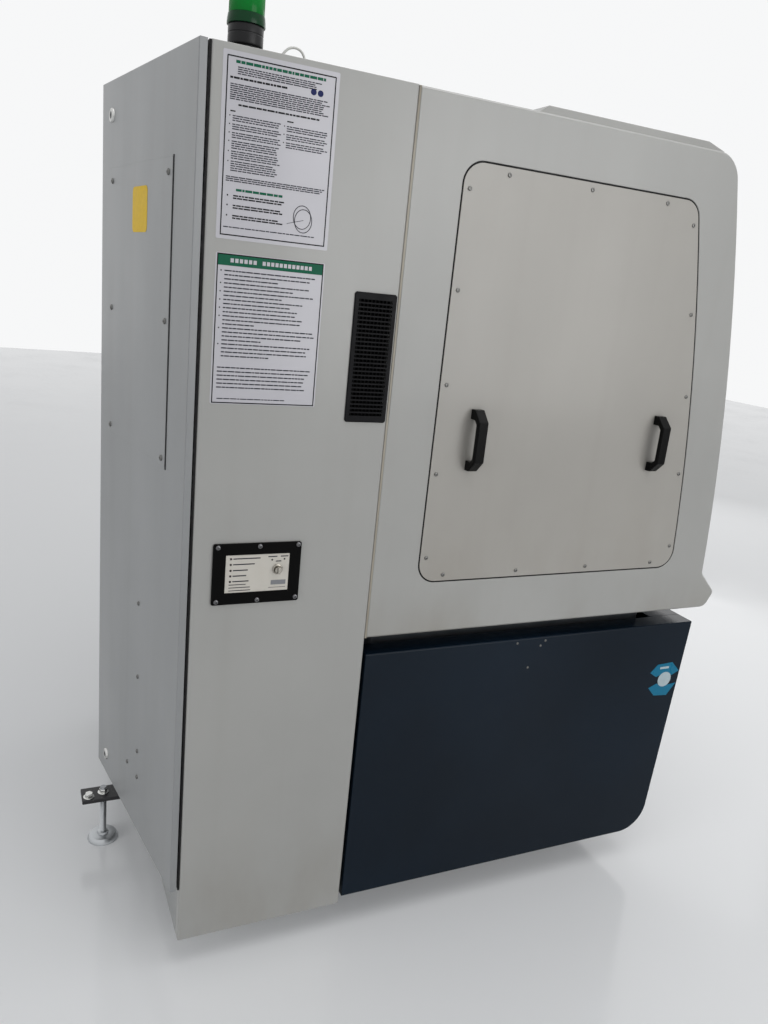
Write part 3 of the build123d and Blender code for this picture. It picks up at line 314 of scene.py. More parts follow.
def casting_paint(name, colour):
    """Thick machine enamel over a cast skin, softly uneven, with a film of dust on it."""
    enamel = Finish(name, colour, 0.42)
    tone = enamel.ramp(enamel.noise(5.0, 4), 0.3, 0.75)
    enamel.paint(enamel.mix(tone, shaded(colour, 0.86, 0.86, 0.85), shaded(colour, 1.06, 1.06, 1.05)))
    enamel.patchy(30, 3, 0.3, 0.8, 0.34, 0.58)
    enamel.relief(enamel.noise(140, 5), 0.0006)
    return enamel


# The bed's dark grey is painted shade for the shadowed gap between the enclosure and the plinth.
eased("machine_bed", casting_paint("bed_shade_enamel", linear(52, 55, 59)), 0.006)

# Levelling feet: zinc plated pads on threaded studs, each locked by a hexagon nut under the casting
# or under the rear bracket.


def plated(name, colour, roughness):
    """Plated or ground steel with a fine drawn grain and cloudy handling marks."""
    metal = Finish(name, colour, roughness, metallic=1.0)
    grain = metal.noise(60, 3, stretch=(1, 14, 14))
    cloud = metal.noise(14, 4)
    metal.gloss(metal.ramp(metal.maths("ADD", grain, cloud), 0.6, 1.4, roughness * 0.75, roughness * 1.4))
    metal.paint(metal.mix(cloud, shaded(colour, 0.86, 0.86, 0.85), colour))
    metal.relief(grain, 0.00008)
    return metal


zinc = plated("zinc_plate", linear(190, 193, 196), 0.36)
ground = plated("ground_steel", linear(200, 200, 200), 0.22)
bright = plated("bright_screw", linear(214, 214, 212), 0.20)
dull = plated("dull_screw", linear(116, 116, 114), 0.34)


def turned(profile, sides, ring=False):
    """A turned mesh about +Z from (radius, height) points; a ring's profile closes on itself."""
    work = bmesh.new()
    rings = []
    for radius, height in profile:
        count = 1 if radius == 0 else sides
        angles = [math.tau * i / sides for i in range(count)]
        rings.append([work.verts.new((radius * math.cos(a), radius * math.sin(a), height)) for a in angles])
    if ring:
        rings.append(rings[0])
    for lower, upper in zip(rings, rings[1:]):
        for i in range(sides):
            j = (i + 1) % sides
            corners = [lower[i % len(lower)], lower[j % len(lower)]]
            corners += [upper[j % len(upper)], upper[i % len(upper)]]
            corners = list(dict.fromkeys(corners))
            if len(corners) > 2:
                work.faces.new(corners)
    return closed_mesh(work, "turned")


def standing(mesh, place, facing=(0, 0, 1), spin=0.0):
    """Move a mesh so that its own +Z stands on a place and faces a way."""
    turn = Vector((0, 0, 1)).rotation_difference(Vector(facing)).to_matrix().to_4x4()
    mesh.transform(Matrix.Translation(Vector(place)) @ turn @ Matrix.Rotation(spin, 4, "Z"))
    return mesh


def together(name, meshes):
    """Several meshes made one."""
    work = bmesh.new()
    for mesh in meshes:
        work.from_mesh(mesh)
        bpy.data.meshes.remove(mesh)
    return closed_mesh(work, name)


def islands(node):
    """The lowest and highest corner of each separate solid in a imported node."""
    work = bmesh.new()
    work.from_mesh(nodes[node].data)
    bmesh.ops.remove_doubles(work, verts=work.verts, dist=1e-5)
    left = set(work.verts)
    boxes = []
    while left:
        island = [left.pop()]
        for vertex in island:
            for edge in vertex.link_edges:
                other = edge.other_vert(vertex)
                if other in left:
                    left.remove(other)
                    island.append(other)
        places = [vertex.co for vertex in island]
        boxes.append((Vector(map(min, zip(*places))), Vector(map(max, zip(*places)))))
    work.free()
    return sorted(boxes, key=lambda corners: tuple(corners[0]))


def hexagon_nut(across, height):
    """A chamfered hexagon nut from z = 0 upwards."""
    half = across / 2
    chamfer = height * 0.15
    return turned([(0, 0), (half * 0.9, 0), (half, chamfer), (half, height - chamfer), (half * 0.9, height),
                   (0, height)], 6)


foot_meshes = []
thread_pitch = 0.0025
thread_root, thread_crest = 0.0088, 0.0098
nut_across, nut_height = 0.034, 0.012
boss_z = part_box("machine_bed")[0].z
rear_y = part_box("cabinet_side_left")[1].y
bracket_low, bracket_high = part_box("foot_bracket")
for low, high in islands("levelling_feet"):
    centre = (low + high) / 2
    top = high.z - 0.001
    foot_profile = [(0, 0), (0.045, 0), (0.0445, 0.004), (0.039, 0.0145), (0.036, 0.016), (0.017, 0.0165),
                    (0.015, 0.023), (thread_crest, 0.025)]
    for turn in range(int((top - 0.029) / thread_pitch)):
        root_z = 0.0255 + turn * thread_pitch
        foot_profile += [(thread_root, root_z), (thread_crest, root_z + thread_pitch / 2)]
    foot_profile += [(thread_root, top), (0, top)]
    foot_meshes.append(standing(turned(foot_profile, 20), (centre.x, centre.y, 0)))
    under = bracket_low.z if centre.y > rear_y else boss_z
    nut_place = (centre.x, centre.y, under - nut_height)
    foot_meshes.append(standing(hexagon_nut(nut_across, nut_height), nut_place, spin=0.3))
piece("levelling_feet_finished", together("levelling_feet", foot_meshes), zinc, "machine", "zinc_steel",
      "levelling_feet")

# Rear foot: an angle bracket of thick black plate under the cabinet's back, held on its stud by a nut
# and to the base by bright hexagon bolts with washers.

bracket_paint = Finish("black_bracket_paint", linear(40, 39, 42), 0.40)
bracket_wear = bracket_paint.ramp(bracket_paint.noise(90, 5), 0.60, 0.74)
bracket_paint.paint(bracket_paint.mix(bracket_wear, linear(38, 37, 40), linear(92, 88, 84)))
bracket_paint.relief(bracket_paint.noise(400, 3), 0.0002)
eased("foot_bracket", bracket_paint, 0.002)


def growing_tree(name, **inputs):
    """A new tree that turns a geometry into another one, with its start, its end and these further inputs."""
    tree = bpy.data.node_groups.new(name, "GeometryNodeTree")
    for label, kind in {"Geometry": "Geometry", **inputs}.items():
        tree.interface.new_socket(label, in_out="INPUT", socket_type="NodeSocket" + kind)
    tree.interface.new_socket("Geometry", in_out="OUTPUT", socket_type="NodeSocketGeometry")
    return tree, tree.nodes.new("NodeGroupInput"), tree.nodes.new("NodeGroupOutput")


def coated(tree, start, end, shape):
    """Make a tree's shape real, give it the finish that the tree is handed, and send it out."""
    whole = tree.nodes.new("GeometryNodeRealizeInstances")
    coat = tree.nodes.new("GeometryNodeSetMaterial")
    tree.links.new(shape, whole.inputs[0])
    tree.links.new(whole.outputs[0], coat.inputs["Geometry"])
    tree.links.new(start.outputs["Finish"], coat.inputs["Material"])
    tree.links.new(coat.outputs[0], end.inputs[0])
    return tree


def evaluated(made):
    """An object's shape as a mesh, with its modifiers applied."""
    bpy.context.view_layer.update()
    return bpy.data.meshes.new_from_object(made.evaluated_get(bpy.context.evaluated_depsgraph_get()))


def grown(name, base, tree, values):
    """The mesh that a tree makes of a base mesh."""
    seed_piece = bpy.data.objects.new(name + "_seed", base)
    bpy.context.collection.objects.link(seed_piece)
    growth = seed_piece.modifiers.new("growth", "NODES")
    growth.node_group = tree
    for socket in tree.interface.items_tree:
        if socket.in_out == "INPUT" and socket.name in values:
            growth[socket.identifier] = values[socket.name]
    mesh = evaluated(seed_piece)
    mesh.name = name
    bpy.data.objects.remove(seed_piece)
    return mesh


def heads_on_points():
    """A tree that stands one head on each point, facing along its arrow and stretched as it says."""
    tree, start, end = growing_tree("heads_on_points", Head="Object", Spin="Float", Seed="Int",
                                    Finish="Material")
    head = tree.nodes.new("GeometryNodeObjectInfo")
    arrow = tree.nodes.new("GeometryNodeInputNamedAttribute")
    size = tree.nodes.new("GeometryNodeInputNamedAttribute")
    for given, attribute in ((arrow, "facing"), (size, "size")):
        given.data_type = "FLOAT_VECTOR"
        given.inputs["Name"].default_value = attribute
    aim = tree.nodes.new("FunctionNodeAlignRotationToVector")
    aim.axis = "Z"
    chance = tree.nodes.new("FunctionNodeRandomValue")
    chance.data_type = "FLOAT"
    spin = tree.nodes.new("FunctionNodeAxisAngleToRotation")
    spin.inputs["Axis"].default_value = (0, 0, 1)
    both = tree.nodes.new("FunctionNodeRotateRotation")
    both.rotation_space = "LOCAL"
    stand = tree.nodes.new("GeometryNodeInstanceOnPoints")
    link = tree.links.new
    link(start.outputs["Head"], head.inputs["Object"])
    link(arrow.outputs["Attribute"], aim.inputs["Vector"])
    link(start.outputs["Seed"], chance.inputs["Seed"])
    link(start.outputs["Spin"], chance.inputs[3])
    link(chance.outputs[1], spin.inputs["Angle"])
    link(aim.outputs[0], both.inputs[0])
    link(spin.outputs[0], both.inputs[1])
    link(start.outputs["Geometry"], stand.inputs["Points"])
    link(head.outputs["Geometry"], stand.inputs["Instance"])
    link(both.outputs[0], stand.inputs["Rotation"])
    link(size.outputs["Attribute"], stand.inputs["Scale"])
    return coated(tree, start, end, stand.outputs[0])


head_tree = heads_on_points()


def row_of(name, head, places, finish, body, slot, *stands_for, sizes=None, spin=0.0, seed=1, smooth=50):
    """Like small parts, each given by its place and the way that it faces, and perhaps by its three sizes."""
    base = bpy.data.meshes.new(name + "_places")
    base.from_pydata([place for place, facing in places], [], [])
    arrows = base.attributes.new("facing", "FLOAT_VECTOR", "POINT")
    stretch = base.attributes.new("size", "FLOAT_VECTOR", "POINT")
    for i, (place, facing) in enumerate(places):
        arrows.data[i].vector = facing
        stretch.data[i].vector = sizes[i] if sizes else (1, 1, 1)
    pattern = bpy.data.objects.new(name + "_pattern", head)
    bpy.context.collection.objects.link(pattern)
    values = {"Head": pattern, "Spin": spin, "Seed": seed, "Finish": finish.material}
    mesh = grown(name, base, head_tree, values)
    bpy.data.objects.remove(pattern)
    return piece(name, mesh, None, body, slot, *stands_for, smooth=smooth)


def hexagon_bolt(across, height, washer):
    """A bolt head with its washer below, both on the plane z = 0."""
    nut = standing(hexagon_nut(across, height), (0, 0, 0.002))
    ring = turned([(0, 0), (washer, 0), (washer, 0.0018), (washer - 0.0005, 0.0022), (0, 0.0022)], 24)
    return together("hexagon_bolt", [nut, ring])


bracket_x = (bracket_low.x + bracket_high.x) / 2
plate_top = bracket_low.z + 0.012
bracket_bolts = [((bracket_x, rear_y + 0.120, plate_top), (0, 0, 1)),
                 ((bracket_x - 0.014, rear_y + 0.162, plate_top), (0, 0, 1)),
                 ((bracket_x - 0.018, rear_y + 0.012, plate_top + 0.040), (0, 1, 0)),
                 ((bracket_x + 0.018, rear_y + 0.012, plate_top + 0.040), (0, 1, 0))]
row_of("bracket_bolts", hexagon_bolt(0.024, 0.011, 0.016), bracket_bolts, bright, "machine", "bright_screw",
       spin=math.tau, seed=4)

# Plinth: dark blue-grey covers of folded steel round the base, in smooth satin enamel that mirrors
# the floor a little, fixed by small rivets below the top edge.


def painted_sheet(name, colour, deep=0.93, pale=1.05, runs_and_reflection_streaks=0.10, soil=0.0, soil_z=(0.0, 0.1),
                  gloss=(0.285, 0.46)):
    """Baked enamel on folded sheet: fine texture, slow changes of tone, faint runs that are partly dirt and
    partly painted reflection streaks, and soil low down.
    """
    sheet = Finish(name, colour, gloss[0])
    cloud = sheet.ramp(sheet.noise(1.7, 4), 0.32, 0.70)
    tone = sheet.mix(cloud, shaded(colour, deep), shaded(colour, pale))
    # Faint upright brownish runs: partly dirt runs and partly painted reflection streaks.
    run_and_reflection_streak = sheet.ramp(sheet.noise(16, 4, stretch=(1, 1, 0.035)), 0.50, 0.78, 0, runs_and_reflection_streaks)
    tone = sheet.mix(run_and_reflection_streak, tone, shaded(colour, 0.62, 0.58, 0.50))
    if soil:
        low = sheet.ramp(sheet.axis("Z"), soil_z[0], soil_z[1], 1, 0)
        patch = sheet.ramp(sheet.noise(6, 5, stretch=(1, 1, 0.5)), 0.42, 0.75)
        soiled = sheet.maths("MULTIPLY", sheet.maths("MULTIPLY", low, patch), soil)
        tone = sheet.mix(soiled, tone, shaded(colour, 0.56, 0.48, 0.36))
    sheet.paint(tone)
    sheet.gloss(sheet.ramp(sheet.noise(3.2, 5, stretch=(1, 1, 0.4)), 0.3, 0.75, *gloss))
    sheet.relief(sheet.noise(620, 2), 0.00010)
    return sheet


plinth_enamel = painted_sheet("plinth_enamel", linear(13, 26, 38), 0.78, 1.22, runs_and_reflection_streaks=0.02, gloss=(0.10, 0.22))
plinth_enamel.mirror(0.11)
eased("plinth_side_left", plinth_enamel, 0.0014)
eased("plinth_side_right", plinth_enamel, 0.0014)
eased("plinth_front", plinth_enamel, 0.001)


def button_head(radius, height):
    """A domed head with a round drive recess, standing on z = 0."""
    profile = [(0, 0), (radius, 0), (radius, height * 0.25)]
    for step in range(1, 6):
        angle = math.radians(18 * step)
        profile.append((radius * math.cos(angle * 0.75), height * (0.25 + 0.75 * math.sin(angle))))
    rim = profile[-1][0]
    profile += [(rim * 0.8, height * 0.35), (0, height * 0.30)]
    return turned(profile, 14)


# Places on the machine are given as its fitter would take them with a tape on the left side: reach
# forward from the cabinet's rear skin, and drop down from its roof.
left_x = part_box("cabinet_side_left")[0].x
roof_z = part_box("cabinet_side_left")[1].z


def on_side(reach, drop, proud=0.0):
    """A point on the left side, this far out from its skin."""
    return Vector((left_x - proud, rear_y - reach, roof_z - drop))


def on_left(points, proud=0.0):
    """Places on the left side for a row of parts that face outward."""
    return [(on_side(*point, proud), (-1, 0, 0)) for point in points]


rivet_points = [(0.890, 1.304), (0.982, 1.304), (0.968, 1.318), (0.936, 1.381)]
row_of("plinth_rivets", button_head(0.0034, 0.0016), on_left(rivet_points), dull, "machine", "bright_screw")

# A round-and-angled sticker near the plinth's front corner, left as plain fields of colour: two
# teal plates above and below a pale disc, printed on thin film.


def prism(place, outline, proud):
    """A thin flat on a surface: its outline as (along, down) points, between two heights above the skin."""
    work = bmesh.new()
    lower, upper = [[work.verts.new(place(a, d, height)) for a, d in outline] for height in proud]
    work.faces.new(lower)
    work.faces.new(upper)
    for i in range(len(outline)):
        j = (i + 1) % len(outline)
        work.faces.new((lower[i], lower[j], upper[j], upper[i]))
    return closed_mesh(work, "flat")


def flats(name, place, outlines, proud, finish, body="machine", slot="white_print"):
    """Thin flats on a surface, as one piece."""
    parts = [prism(place, outline, proud) for outline in outlines]
    return piece(name, together(name, parts), finish, body, slot)


def oblong(along, down):
    """The outline of a rectangle between two limits each way."""
    return [(along[0], down[0]), (along[1], down[0]), (along[1], down[1]), (along[0], down[1])]


def oval(centre, across, up, sides=28):
    """The outline of a circle or an ellipse."""
    angles = [math.tau * i / sides for i in range(sides)]
    return [(centre[0] + across * math.cos(a), centre[1] + up * math.sin(a)) for a in angles]


def print_ink(name, colour, roughness=0.42):
    """Printed colour, a little uneven."""
    ink = Finish(name, colour, roughness)
    ink.mirror(0.18)
    ink.mottle(120, 3, shaded(colour, 0.88), shaded(colour, 1.10))
    ink.patchy(25, 2, 0.3, 0.7, roughness * 0.85, roughness * 1.15)
    return ink


teal_ink = print_ink("teal_ink", linear(6, 112, 146), 0.3)
pale_ink = print_ink("pale_ink", linear(176, 192, 198), 0.3)
sticker_upper = [(1.416, 1.425), (1.473, 1.422), (1.505, 1.453), (1.479, 1.466), (1.440, 1.458),
                 (1.418, 1.466), (1.392, 1.450)]
sticker_lower = [(1.425, 1.489), (1.454, 1.499), (1.502, 1.494), (1.474, 1.533), (1.423, 1.529),
                 (1.396, 1.501)]
sticker_pale = [oval((1.4527, 1.4770), 0.0255, 0.0245), oblong((1.428, 1.462), (1.434, 1.441))]
film, disc_top = 0.0004, 0.0007
flats("sticker_fields", on_side, [sticker_upper, sticker_lower], (0, film), teal_ink)
flats("sticker_disc", on_side, sticker_pale, (film, disc_top), pale_ink)

# Cabinet: two folded side skins, a roof, a bulkhead and a welded rear frame in light warm grey
# enamel, with black rubber gaskets round the door openings and plated hinges.

body_colour = linear(164, 164, 161)
cabinet_enamel = painted_sheet("cabinet_enamel", body_colour, runs_and_reflection_streaks=0.08, soil=0.35, soil_z=(0.08, 0.5))
cabinet_enamel.coat(0.20, 0.14)
frame_enamel = painted_sheet("frame_enamel", linear(148, 150, 149), runs_and_reflection_streaks=0.1)
gasket_rubber = Finish("gasket_rubber", linear(13, 13, 14), 0.62)
gasket_rubber.mirror(0.22)
gasket_rubber.patchy(80, 3, 0.3, 0.7, 0.5, 0.75)
gasket_rubber.relief(gasket_rubber.noise(900, 2), 0.0001)
eased("cabinet_side_left", cabinet_enamel, 0.0012)
eased("cabinet_side_right", cabinet_enamel, 0.0012)
eased("cabinet_roof", cabinet_enamel, 0.0008)
dress(frame_enamel, "cabinet_bulkhead", "cabinet_rear_frame")
dress(gasket_rubber, "door_gaskets")
dress(zinc, "frame_hinges")

# Rear doors: two folded pans in a cooler grey, the left one ajar. A cover plate is screwed over the left
# door's service opening, with a thin black strip along its hinge edge as painted shade for the shadow gap
# there.

right_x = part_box("cabinet_side_right")[1].x
hinge = next(joint for joint in behaviour["joints"] if joint["name"] == "rear_door_left_hinge")
ajar = Matrix.Rotation(math.radians(-hinge["range_deg"][0]), 4, "Z")
hinge_turn = Matrix.Translation(hinge["pos_m"]) @ ajar @ Matrix.Translation(hinge["pos_m"]).inverted()
left_door_facing = ajar.to_3x3() @ Vector((0, 1, 0))
door_proud = 0.0245
plate_proud = 0.002


def on_left_door(across, drop, proud=0.0):
    """A point on the left rear door, measured from its hinge edge."""
    return hinge_turn @ Vector((left_x + across, rear_y + door_proud + proud, roof_z - drop))


def on_right_door(across, drop, proud=0.0):
    """A point on the right rear door, measured from its hinge edge."""
    return Vector((right_x - across, rear_y + door_proud + proud, roof_z - drop))


left_door = body_of["rear_door_left"]
right_door = body_of["rear_door_right"]
door_enamel = painted_sheet("door_enamel", linear(142, 144, 145), 0.90, 1.06, runs_and_reflection_streaks=0.14, soil=0.10,
                            soil_z=(0.2, 0.4))
door_enamel.coat(0.08, 0.16)
eased("rear_door_left", door_enamel, 0.0012)
eased("rear_door_right", door_enamel, 0.0012)
eased("rear_door_cover_plate", door_enamel, 0.0006)
# A thin black strip along the cover plate's hinge edge: painted shade for the shadow gap between plate and
# door.
plate_shadow_strip = oblong((0.1156, 0.1200), (0.1950, 0.8470))
flats("cover_plate_seal", on_left_door, [plate_shadow_strip], (0, 0.0012), gasket_rubber, left_door, "black_rubber")
plate_screws = [(on_left_door(across, drop, plate_proud), left_door_facing) for across in (0.142, 0.544) for
                drop in (0.227, 0.526, 0.825)]
row_of("cover_plate_screws", button_head(0.0068, 0.0038), plate_screws, dull, left_door, "bright_screw")
stud_points = [(0.285, 1.231), (0.280, 1.431), (0.272, 1.643), (0.270, 1.719), (0.355, 1.722)]
stud_places = [(on_left_door(*point), left_door_facing) for point in stud_points]
row_of("door_weld_studs", button_head(0.0058, 0.0034), stud_places, dull, left_door, "bright_screw")

# Yellow plate on the left rear door: thin plastic with rounded corners in one plain colour, stuck to
# the screwed cover plate.

yellow_ink = print_ink("yellow_ink", linear(220, 182, 22), 0.34)
yellow_ink.mirror(0.06)


def rounded(along, down, radius, steps=5):
    """The outline of a rectangle with round corners."""
    outline = []
    corners = [(along[1] - radius, down[1] - radius, 0), (along[0] + radius, down[1] - radius, 90),
               (along[0] + radius, down[0] + radius, 180), (along[1] - radius, down[0] + radius, 270)]
    for a, d, start in corners:
        for step in range(steps + 1):
            angle = math.radians(start + 90 * step / steps)
            outline.append((a + radius * math.cos(angle), d + radius * math.sin(angle)))
    return outline


yellow_outline = rounded((0.276, 0.381), (0.247, 0.345), 0.012)
flats("yellow_field", on_left_door, [yellow_outline], (plate_proud, plate_proud + 0.0006), yellow_ink,
      left_door)

# Quarter-turn locks: a turned escutcheon with a stepped rim, its threaded barrel through the door
# with a lock nut behind the skin, and a steel core that turns a tongue.

barrel_radius = 0.0110
core_bore = 0.0084
lock_profile = [(core_bore, 0.0046), (0.0104, 0.0050), (0.0112, 0.0043), (0.0122, 0.0043), (0.0132, 0.0049),
                (0.0146, 0.0046), (0.0158, 0.0032), (0.0166, 0.0012), (0.0168, 0.0), (barrel_radius, 0.0),
                (barrel_radius, -0.0021), (0.0155, -0.0021), (0.0155, -0.0070), (barrel_radius, -0.0070),
                (barrel_radius, -0.0300), (core_bore, -0.0300)]
chrome = plated("satin_chrome", linear(206, 206, 204), 0.26)
lock_across = 0.560
lock_drops = (0.078, 1.816)
for side, on_door, facing, door in (("left", on_left_door, left_door_facing, left_door),
                                    ("right", on_right_door, (0, 1, 0), right_door)):
    rims = [standing(turned(lock_profile, 36, ring=True), on_door(lock_across, drop), facing) for drop in
            lock_drops]
    piece("lock_rims_" + side, together("lock_rims_" + side, rims), chrome, door, "bright_screw",
          "lock_bodies_" + side, smooth=30)
burnished = plated("burnished_steel", linear(72, 72, 74), 0.30)
dress(burnished, "lock_core_left_upper", "lock_core_left_lower", "lock_core_right_upper",
      "lock_core_right_lower")

# Cabinet equipment: servo drives above contactors on a zinc plated plate, with slotted wiring ducts
# between them. Each duct is a tray of fingers with a snap-on lid.


def block(low, high):
    """A rectangular block between two corners."""
    work = bmesh.new()
    low, high = Vector(low), Vector(high)
    bmesh.ops.create_cube(work, size=1)
    fit = Matrix.Translation((low + high) / 2) @ Matrix.Diagonal((*(high - low), 1))
    bmesh.ops.transform(work, matrix=fit, verts=work.verts)
    return closed_mesh(work, "block")


def moulding(name, colour, roughness, grain=500):
    """Moulded plastic with a fine spark-eroded texture and slightly uneven gloss."""
    plastic = Finish(name, colour, roughness)
    plastic.patchy(40, 4, 0.3, 0.75, roughness * 0.8, roughness * 1.25)
    plastic.mottle(9, 3, shaded(colour, 0.86), shaded(colour, 1.12))
    plastic.relief(plastic.noise(grain, 3), 0.00015)
    return plastic


duct_plastic = moulding("duct_plastic", linear(158, 162, 165), 0.50, 300)
dark_plastic = moulding("dark_plastic", linear(58, 62, 66), 0.45)
black_plastic = moulding("black_plastic", linear(10, 10, 11), 0.34, 700)
black_plastic.mirror(0.18)
matt_plastic = moulding("matt_plastic", linear(11, 11, 11), 0.40, 700)
matt_plastic.mirror(0.04)
unit = block((-0.5, -0.5, 0), (0.5, 0.5, 1))
dress(zinc, "mounting_plate")
duct_parts = []
finger_places = []
finger_pitch = 0.0125
for low, high in islands("wiring_ducts"):
    duct_parts.append(block(low, (high.x, low.y + 0.002, high.z)))
    duct_parts.append(block((low.x, high.y - 0.006, low.z), high))
    duct_parts.append(block((low.x, low.y, low.z + 0.003), (high.x, low.y + 0.010, low.z + 0.005)))
    for i in range(int((high.x - low.x) / finger_pitch)):
        for level in (low.z + 0.001, high.z - 0.001):
            finger_places.append(((low.x + (i + 0.5) * finger_pitch, low.y + 0.001, level), (0, 1, 0)))
finger = block((-0.0042, -0.001, 0), (0.0042, 0.001, 0.0535))
piece("duct_trays", together("duct_trays", duct_parts), duct_plastic, "machine", "grey_plastic",
      "wiring_ducts")
row_of("duct_fingers", finger, finger_places, duct_plastic, "machine", "grey_plastic")

eased("servo_drives", dark_plastic, 0.002)
eased("contactors", black_plastic, 0.0015)
drive_panels, terminals, pale_fields, terminal_screws, wires = [], [], [], [], []
slot_pitch, terminal_pitch, pole_pitch = 0.007, 0.012, 0.015
for low, high in islands("servo_drives"):
    middle = (low.x + high.x) / 2
    drive_panels.append(((middle, high.y, high.z - 0.085), (0.056, 0.060, 0.0012)))
    for i in range(12):
        drive_panels.append(((middle, high.y, low.z + 0.120 + i * slot_pitch), (0.050, 0.003, 0.0008)))
    for i in range(5):
        terminal_x, terminal_z = low.x + 0.015 + i * terminal_pitch, low.z + 0.040
        terminals.append(((terminal_x, high.y, terminal_z), (0.0105, 0.034, 0.010)))
        terminal_screws.append(((terminal_x, high.y + 0.010, terminal_z), (0, 1, 0)))
    pale_fields.append(((middle, high.y, high.z - 0.140), (0.050, 0.024, 0.0006)))
wire_up, wire_down = 0.214, 0.165
for low, high in islands("contactors"):
    middle = (low.x + high.x) / 2
    pale_fields.append(((middle, high.y, (low.z + high.z) / 2), (0.032, 0.018, 0.0006)))
    for i in (-1, 0, 1):
        across = middle + i * pole_pitch
        terminal_screws.append(((across, low.y + 0.054, high.z - 0.010), (0, 1, 0)))
        terminal_screws.append(((across, low.y + 0.054, low.z + 0.010), (0, 1, 0)))
        wires.append(((across, low.y + 0.036, high.z), (1, 1, wire_up)))
        wires.append(((across, low.y + 0.036, low.z - wire_down), (1, 1, wire_down)))


def sized_row(name, head, items, facing, finish, slot):
    """A row of parts that face one way, each given by its place and its three sizes."""
    return row_of(name, head, [(place, facing) for place, size in items], finish, "machine", slot,
                  sizes=[size for place, size in items])


sized_row("drive_panels", unit, drive_panels, (0, 1, 0), black_plastic, "black_plastic")
sized_row("drive_terminals", unit, terminals, (0, 1, 0), duct_plastic, "grey_plastic")
sized_row("equipment_fields", unit, pale_fields, (0, 1, 0), pale_ink, "white_print")
row_of("terminal_screws", button_head(0.0032, 0.0016), terminal_screws, bright, "machine", "bright_screw",
       spin=math.tau, seed=6)
wire_jacket = moulding("wire_jacket", linear(34, 38, 48), 0.4)
wire_length = turned([(0, 0), (0.0021, 0), (0.0021, 1), (0, 1)], 10)
sized_row("contactor_wires", wire_length, wires, (0, 0, 1), wire_jacket, "black_plastic")

# Seam: a light strip of foam seal in the joint between cabinet and enclosure, with the joint's dark
# line beside it.


def bead_on_path():
    """A tree that lays a round bead along the edges of a mesh."""
    tree, start, end = growing_tree("bead_on_path", Radius="Float", Sides="Int", Finish="Material")
    path = tree.nodes.new("GeometryNodeMeshToCurve")
    section = tree.nodes.new("GeometryNodeCurvePrimitiveCircle")
    sweep = tree.nodes.new("GeometryNodeCurveToMesh")
    sweep.inputs["Fill Caps"].default_value = True
    link = tree.links.new
    link(start.outputs["Geometry"], path.inputs["Mesh"])
    link(start.outputs["Sides"], section.inputs["Resolution"])
    link(start.outputs["Radius"], section.inputs["Radius"])
    link(path.outputs[0], sweep.inputs["Curve"])
    link(section.outputs[0], sweep.inputs["Profile Curve"])
    return coated(tree, start, end, sweep.outputs[0])


bead_tree = bead_on_path()


def faced_outward(mesh, merged=0.0):
    """Turn a mesh's faces outward, after points this close to each other are merged."""
    work = bmesh.new()
    work.from_mesh(mesh)
    if merged:
        bmesh.ops.remove_doubles(work, verts=work.verts, dist=merged)
    bmesh.ops.recalc_face_normals(work, faces=work.faces)
    work.to_mesh(mesh)
    work.free()
    return mesh


def bead(name, paths, radius, finish, body, slot, closed=True, sides=10):
    """Round beads along paths of points."""
    corners, edges = [], []
    for path in paths:
        first = len(corners)
        corners += path
        edges += [(first + i, first + i + 1) for i in range(len(path) - 1)]
        if closed:
            edges.append((len(corners) - 1, first))
    base = bpy.data.meshes.new(name + "_paths")
    base.from_pydata(corners, edges, [])
    mesh = grown(name, base, bead_tree, {"Radius": radius, "Sides": sides, "Finish": finish.material})
    return piece(name, faced_outward(mesh), None, body, slot, smooth=60)


seal_foam = Finish("seal_foam", linear(158, 151, 138), 0.6)
seal_tone = seal_foam.ramp(seal_foam.noise(9, 4, stretch=(1, 1, 0.3)), 0.35, 0.7)
seal_foam.paint(seal_foam.mix(seal_tone, linear(138, 131, 118), linear(170, 164, 151)))
seal_foam.relief(seal_foam.noise(500, 3), 0.0002)
eased("seam_seal", seal_foam, 0.0004)

# Grinding enclosure: two pressed sides in the same warm grey enamel, a plain roof and a raised lid.
# Coolant mist has left a brownish film low on the sides.

body_enamel = painted_sheet("body_enamel", body_colour, runs_and_reflection_streaks=0.08, soil=0.42, soil_z=(0.855, 1.00))
body_enamel.coat(0.22, 0.13)
eased("enclosure_side_left", body_enamel, 0.0014)
eased("enclosure_side_right", body_enamel, 0.0014)
eased("enclosure_roof", body_enamel, 0.0008)
eased("roof_lid", body_enamel, 0.0014)

# Service hatch: a flush plate on a black rubber seal, held by seventeen small button-head screws,
# with two moulded bridge handles to lift it by.

hatch_enamel = painted_sheet("hatch_enamel", linear(162, 159, 153), 0.95, 1.06, runs_and_reflection_streaks=0.06, soil=0.25,
                             soil_z=(0.98, 1.25))
hatch_enamel.coat(0.22, 0.13)
eased("hatch", hatch_enamel, 0.0007)
dress(gasket_rubber, "hatch_seal")
hatch_screws = [((left_x, *((low + high) / 2).yz), (-1, 0, 0)) for low, high in islands("hatch_screws")]
row_of("hatch_screws_finished", button_head(0.0053, 0.0024), hatch_screws, dull, "machine", "bright_screw",
       "hatch_screws", spin=math.tau, seed=3)
handle_plastic = moulding("handle_plastic", linear(8, 8, 8), 0.24, 900)
handle_plastic.mirror(0.09)
eased("hatch_handles", handle_plastic, 0.0024, segments=3)
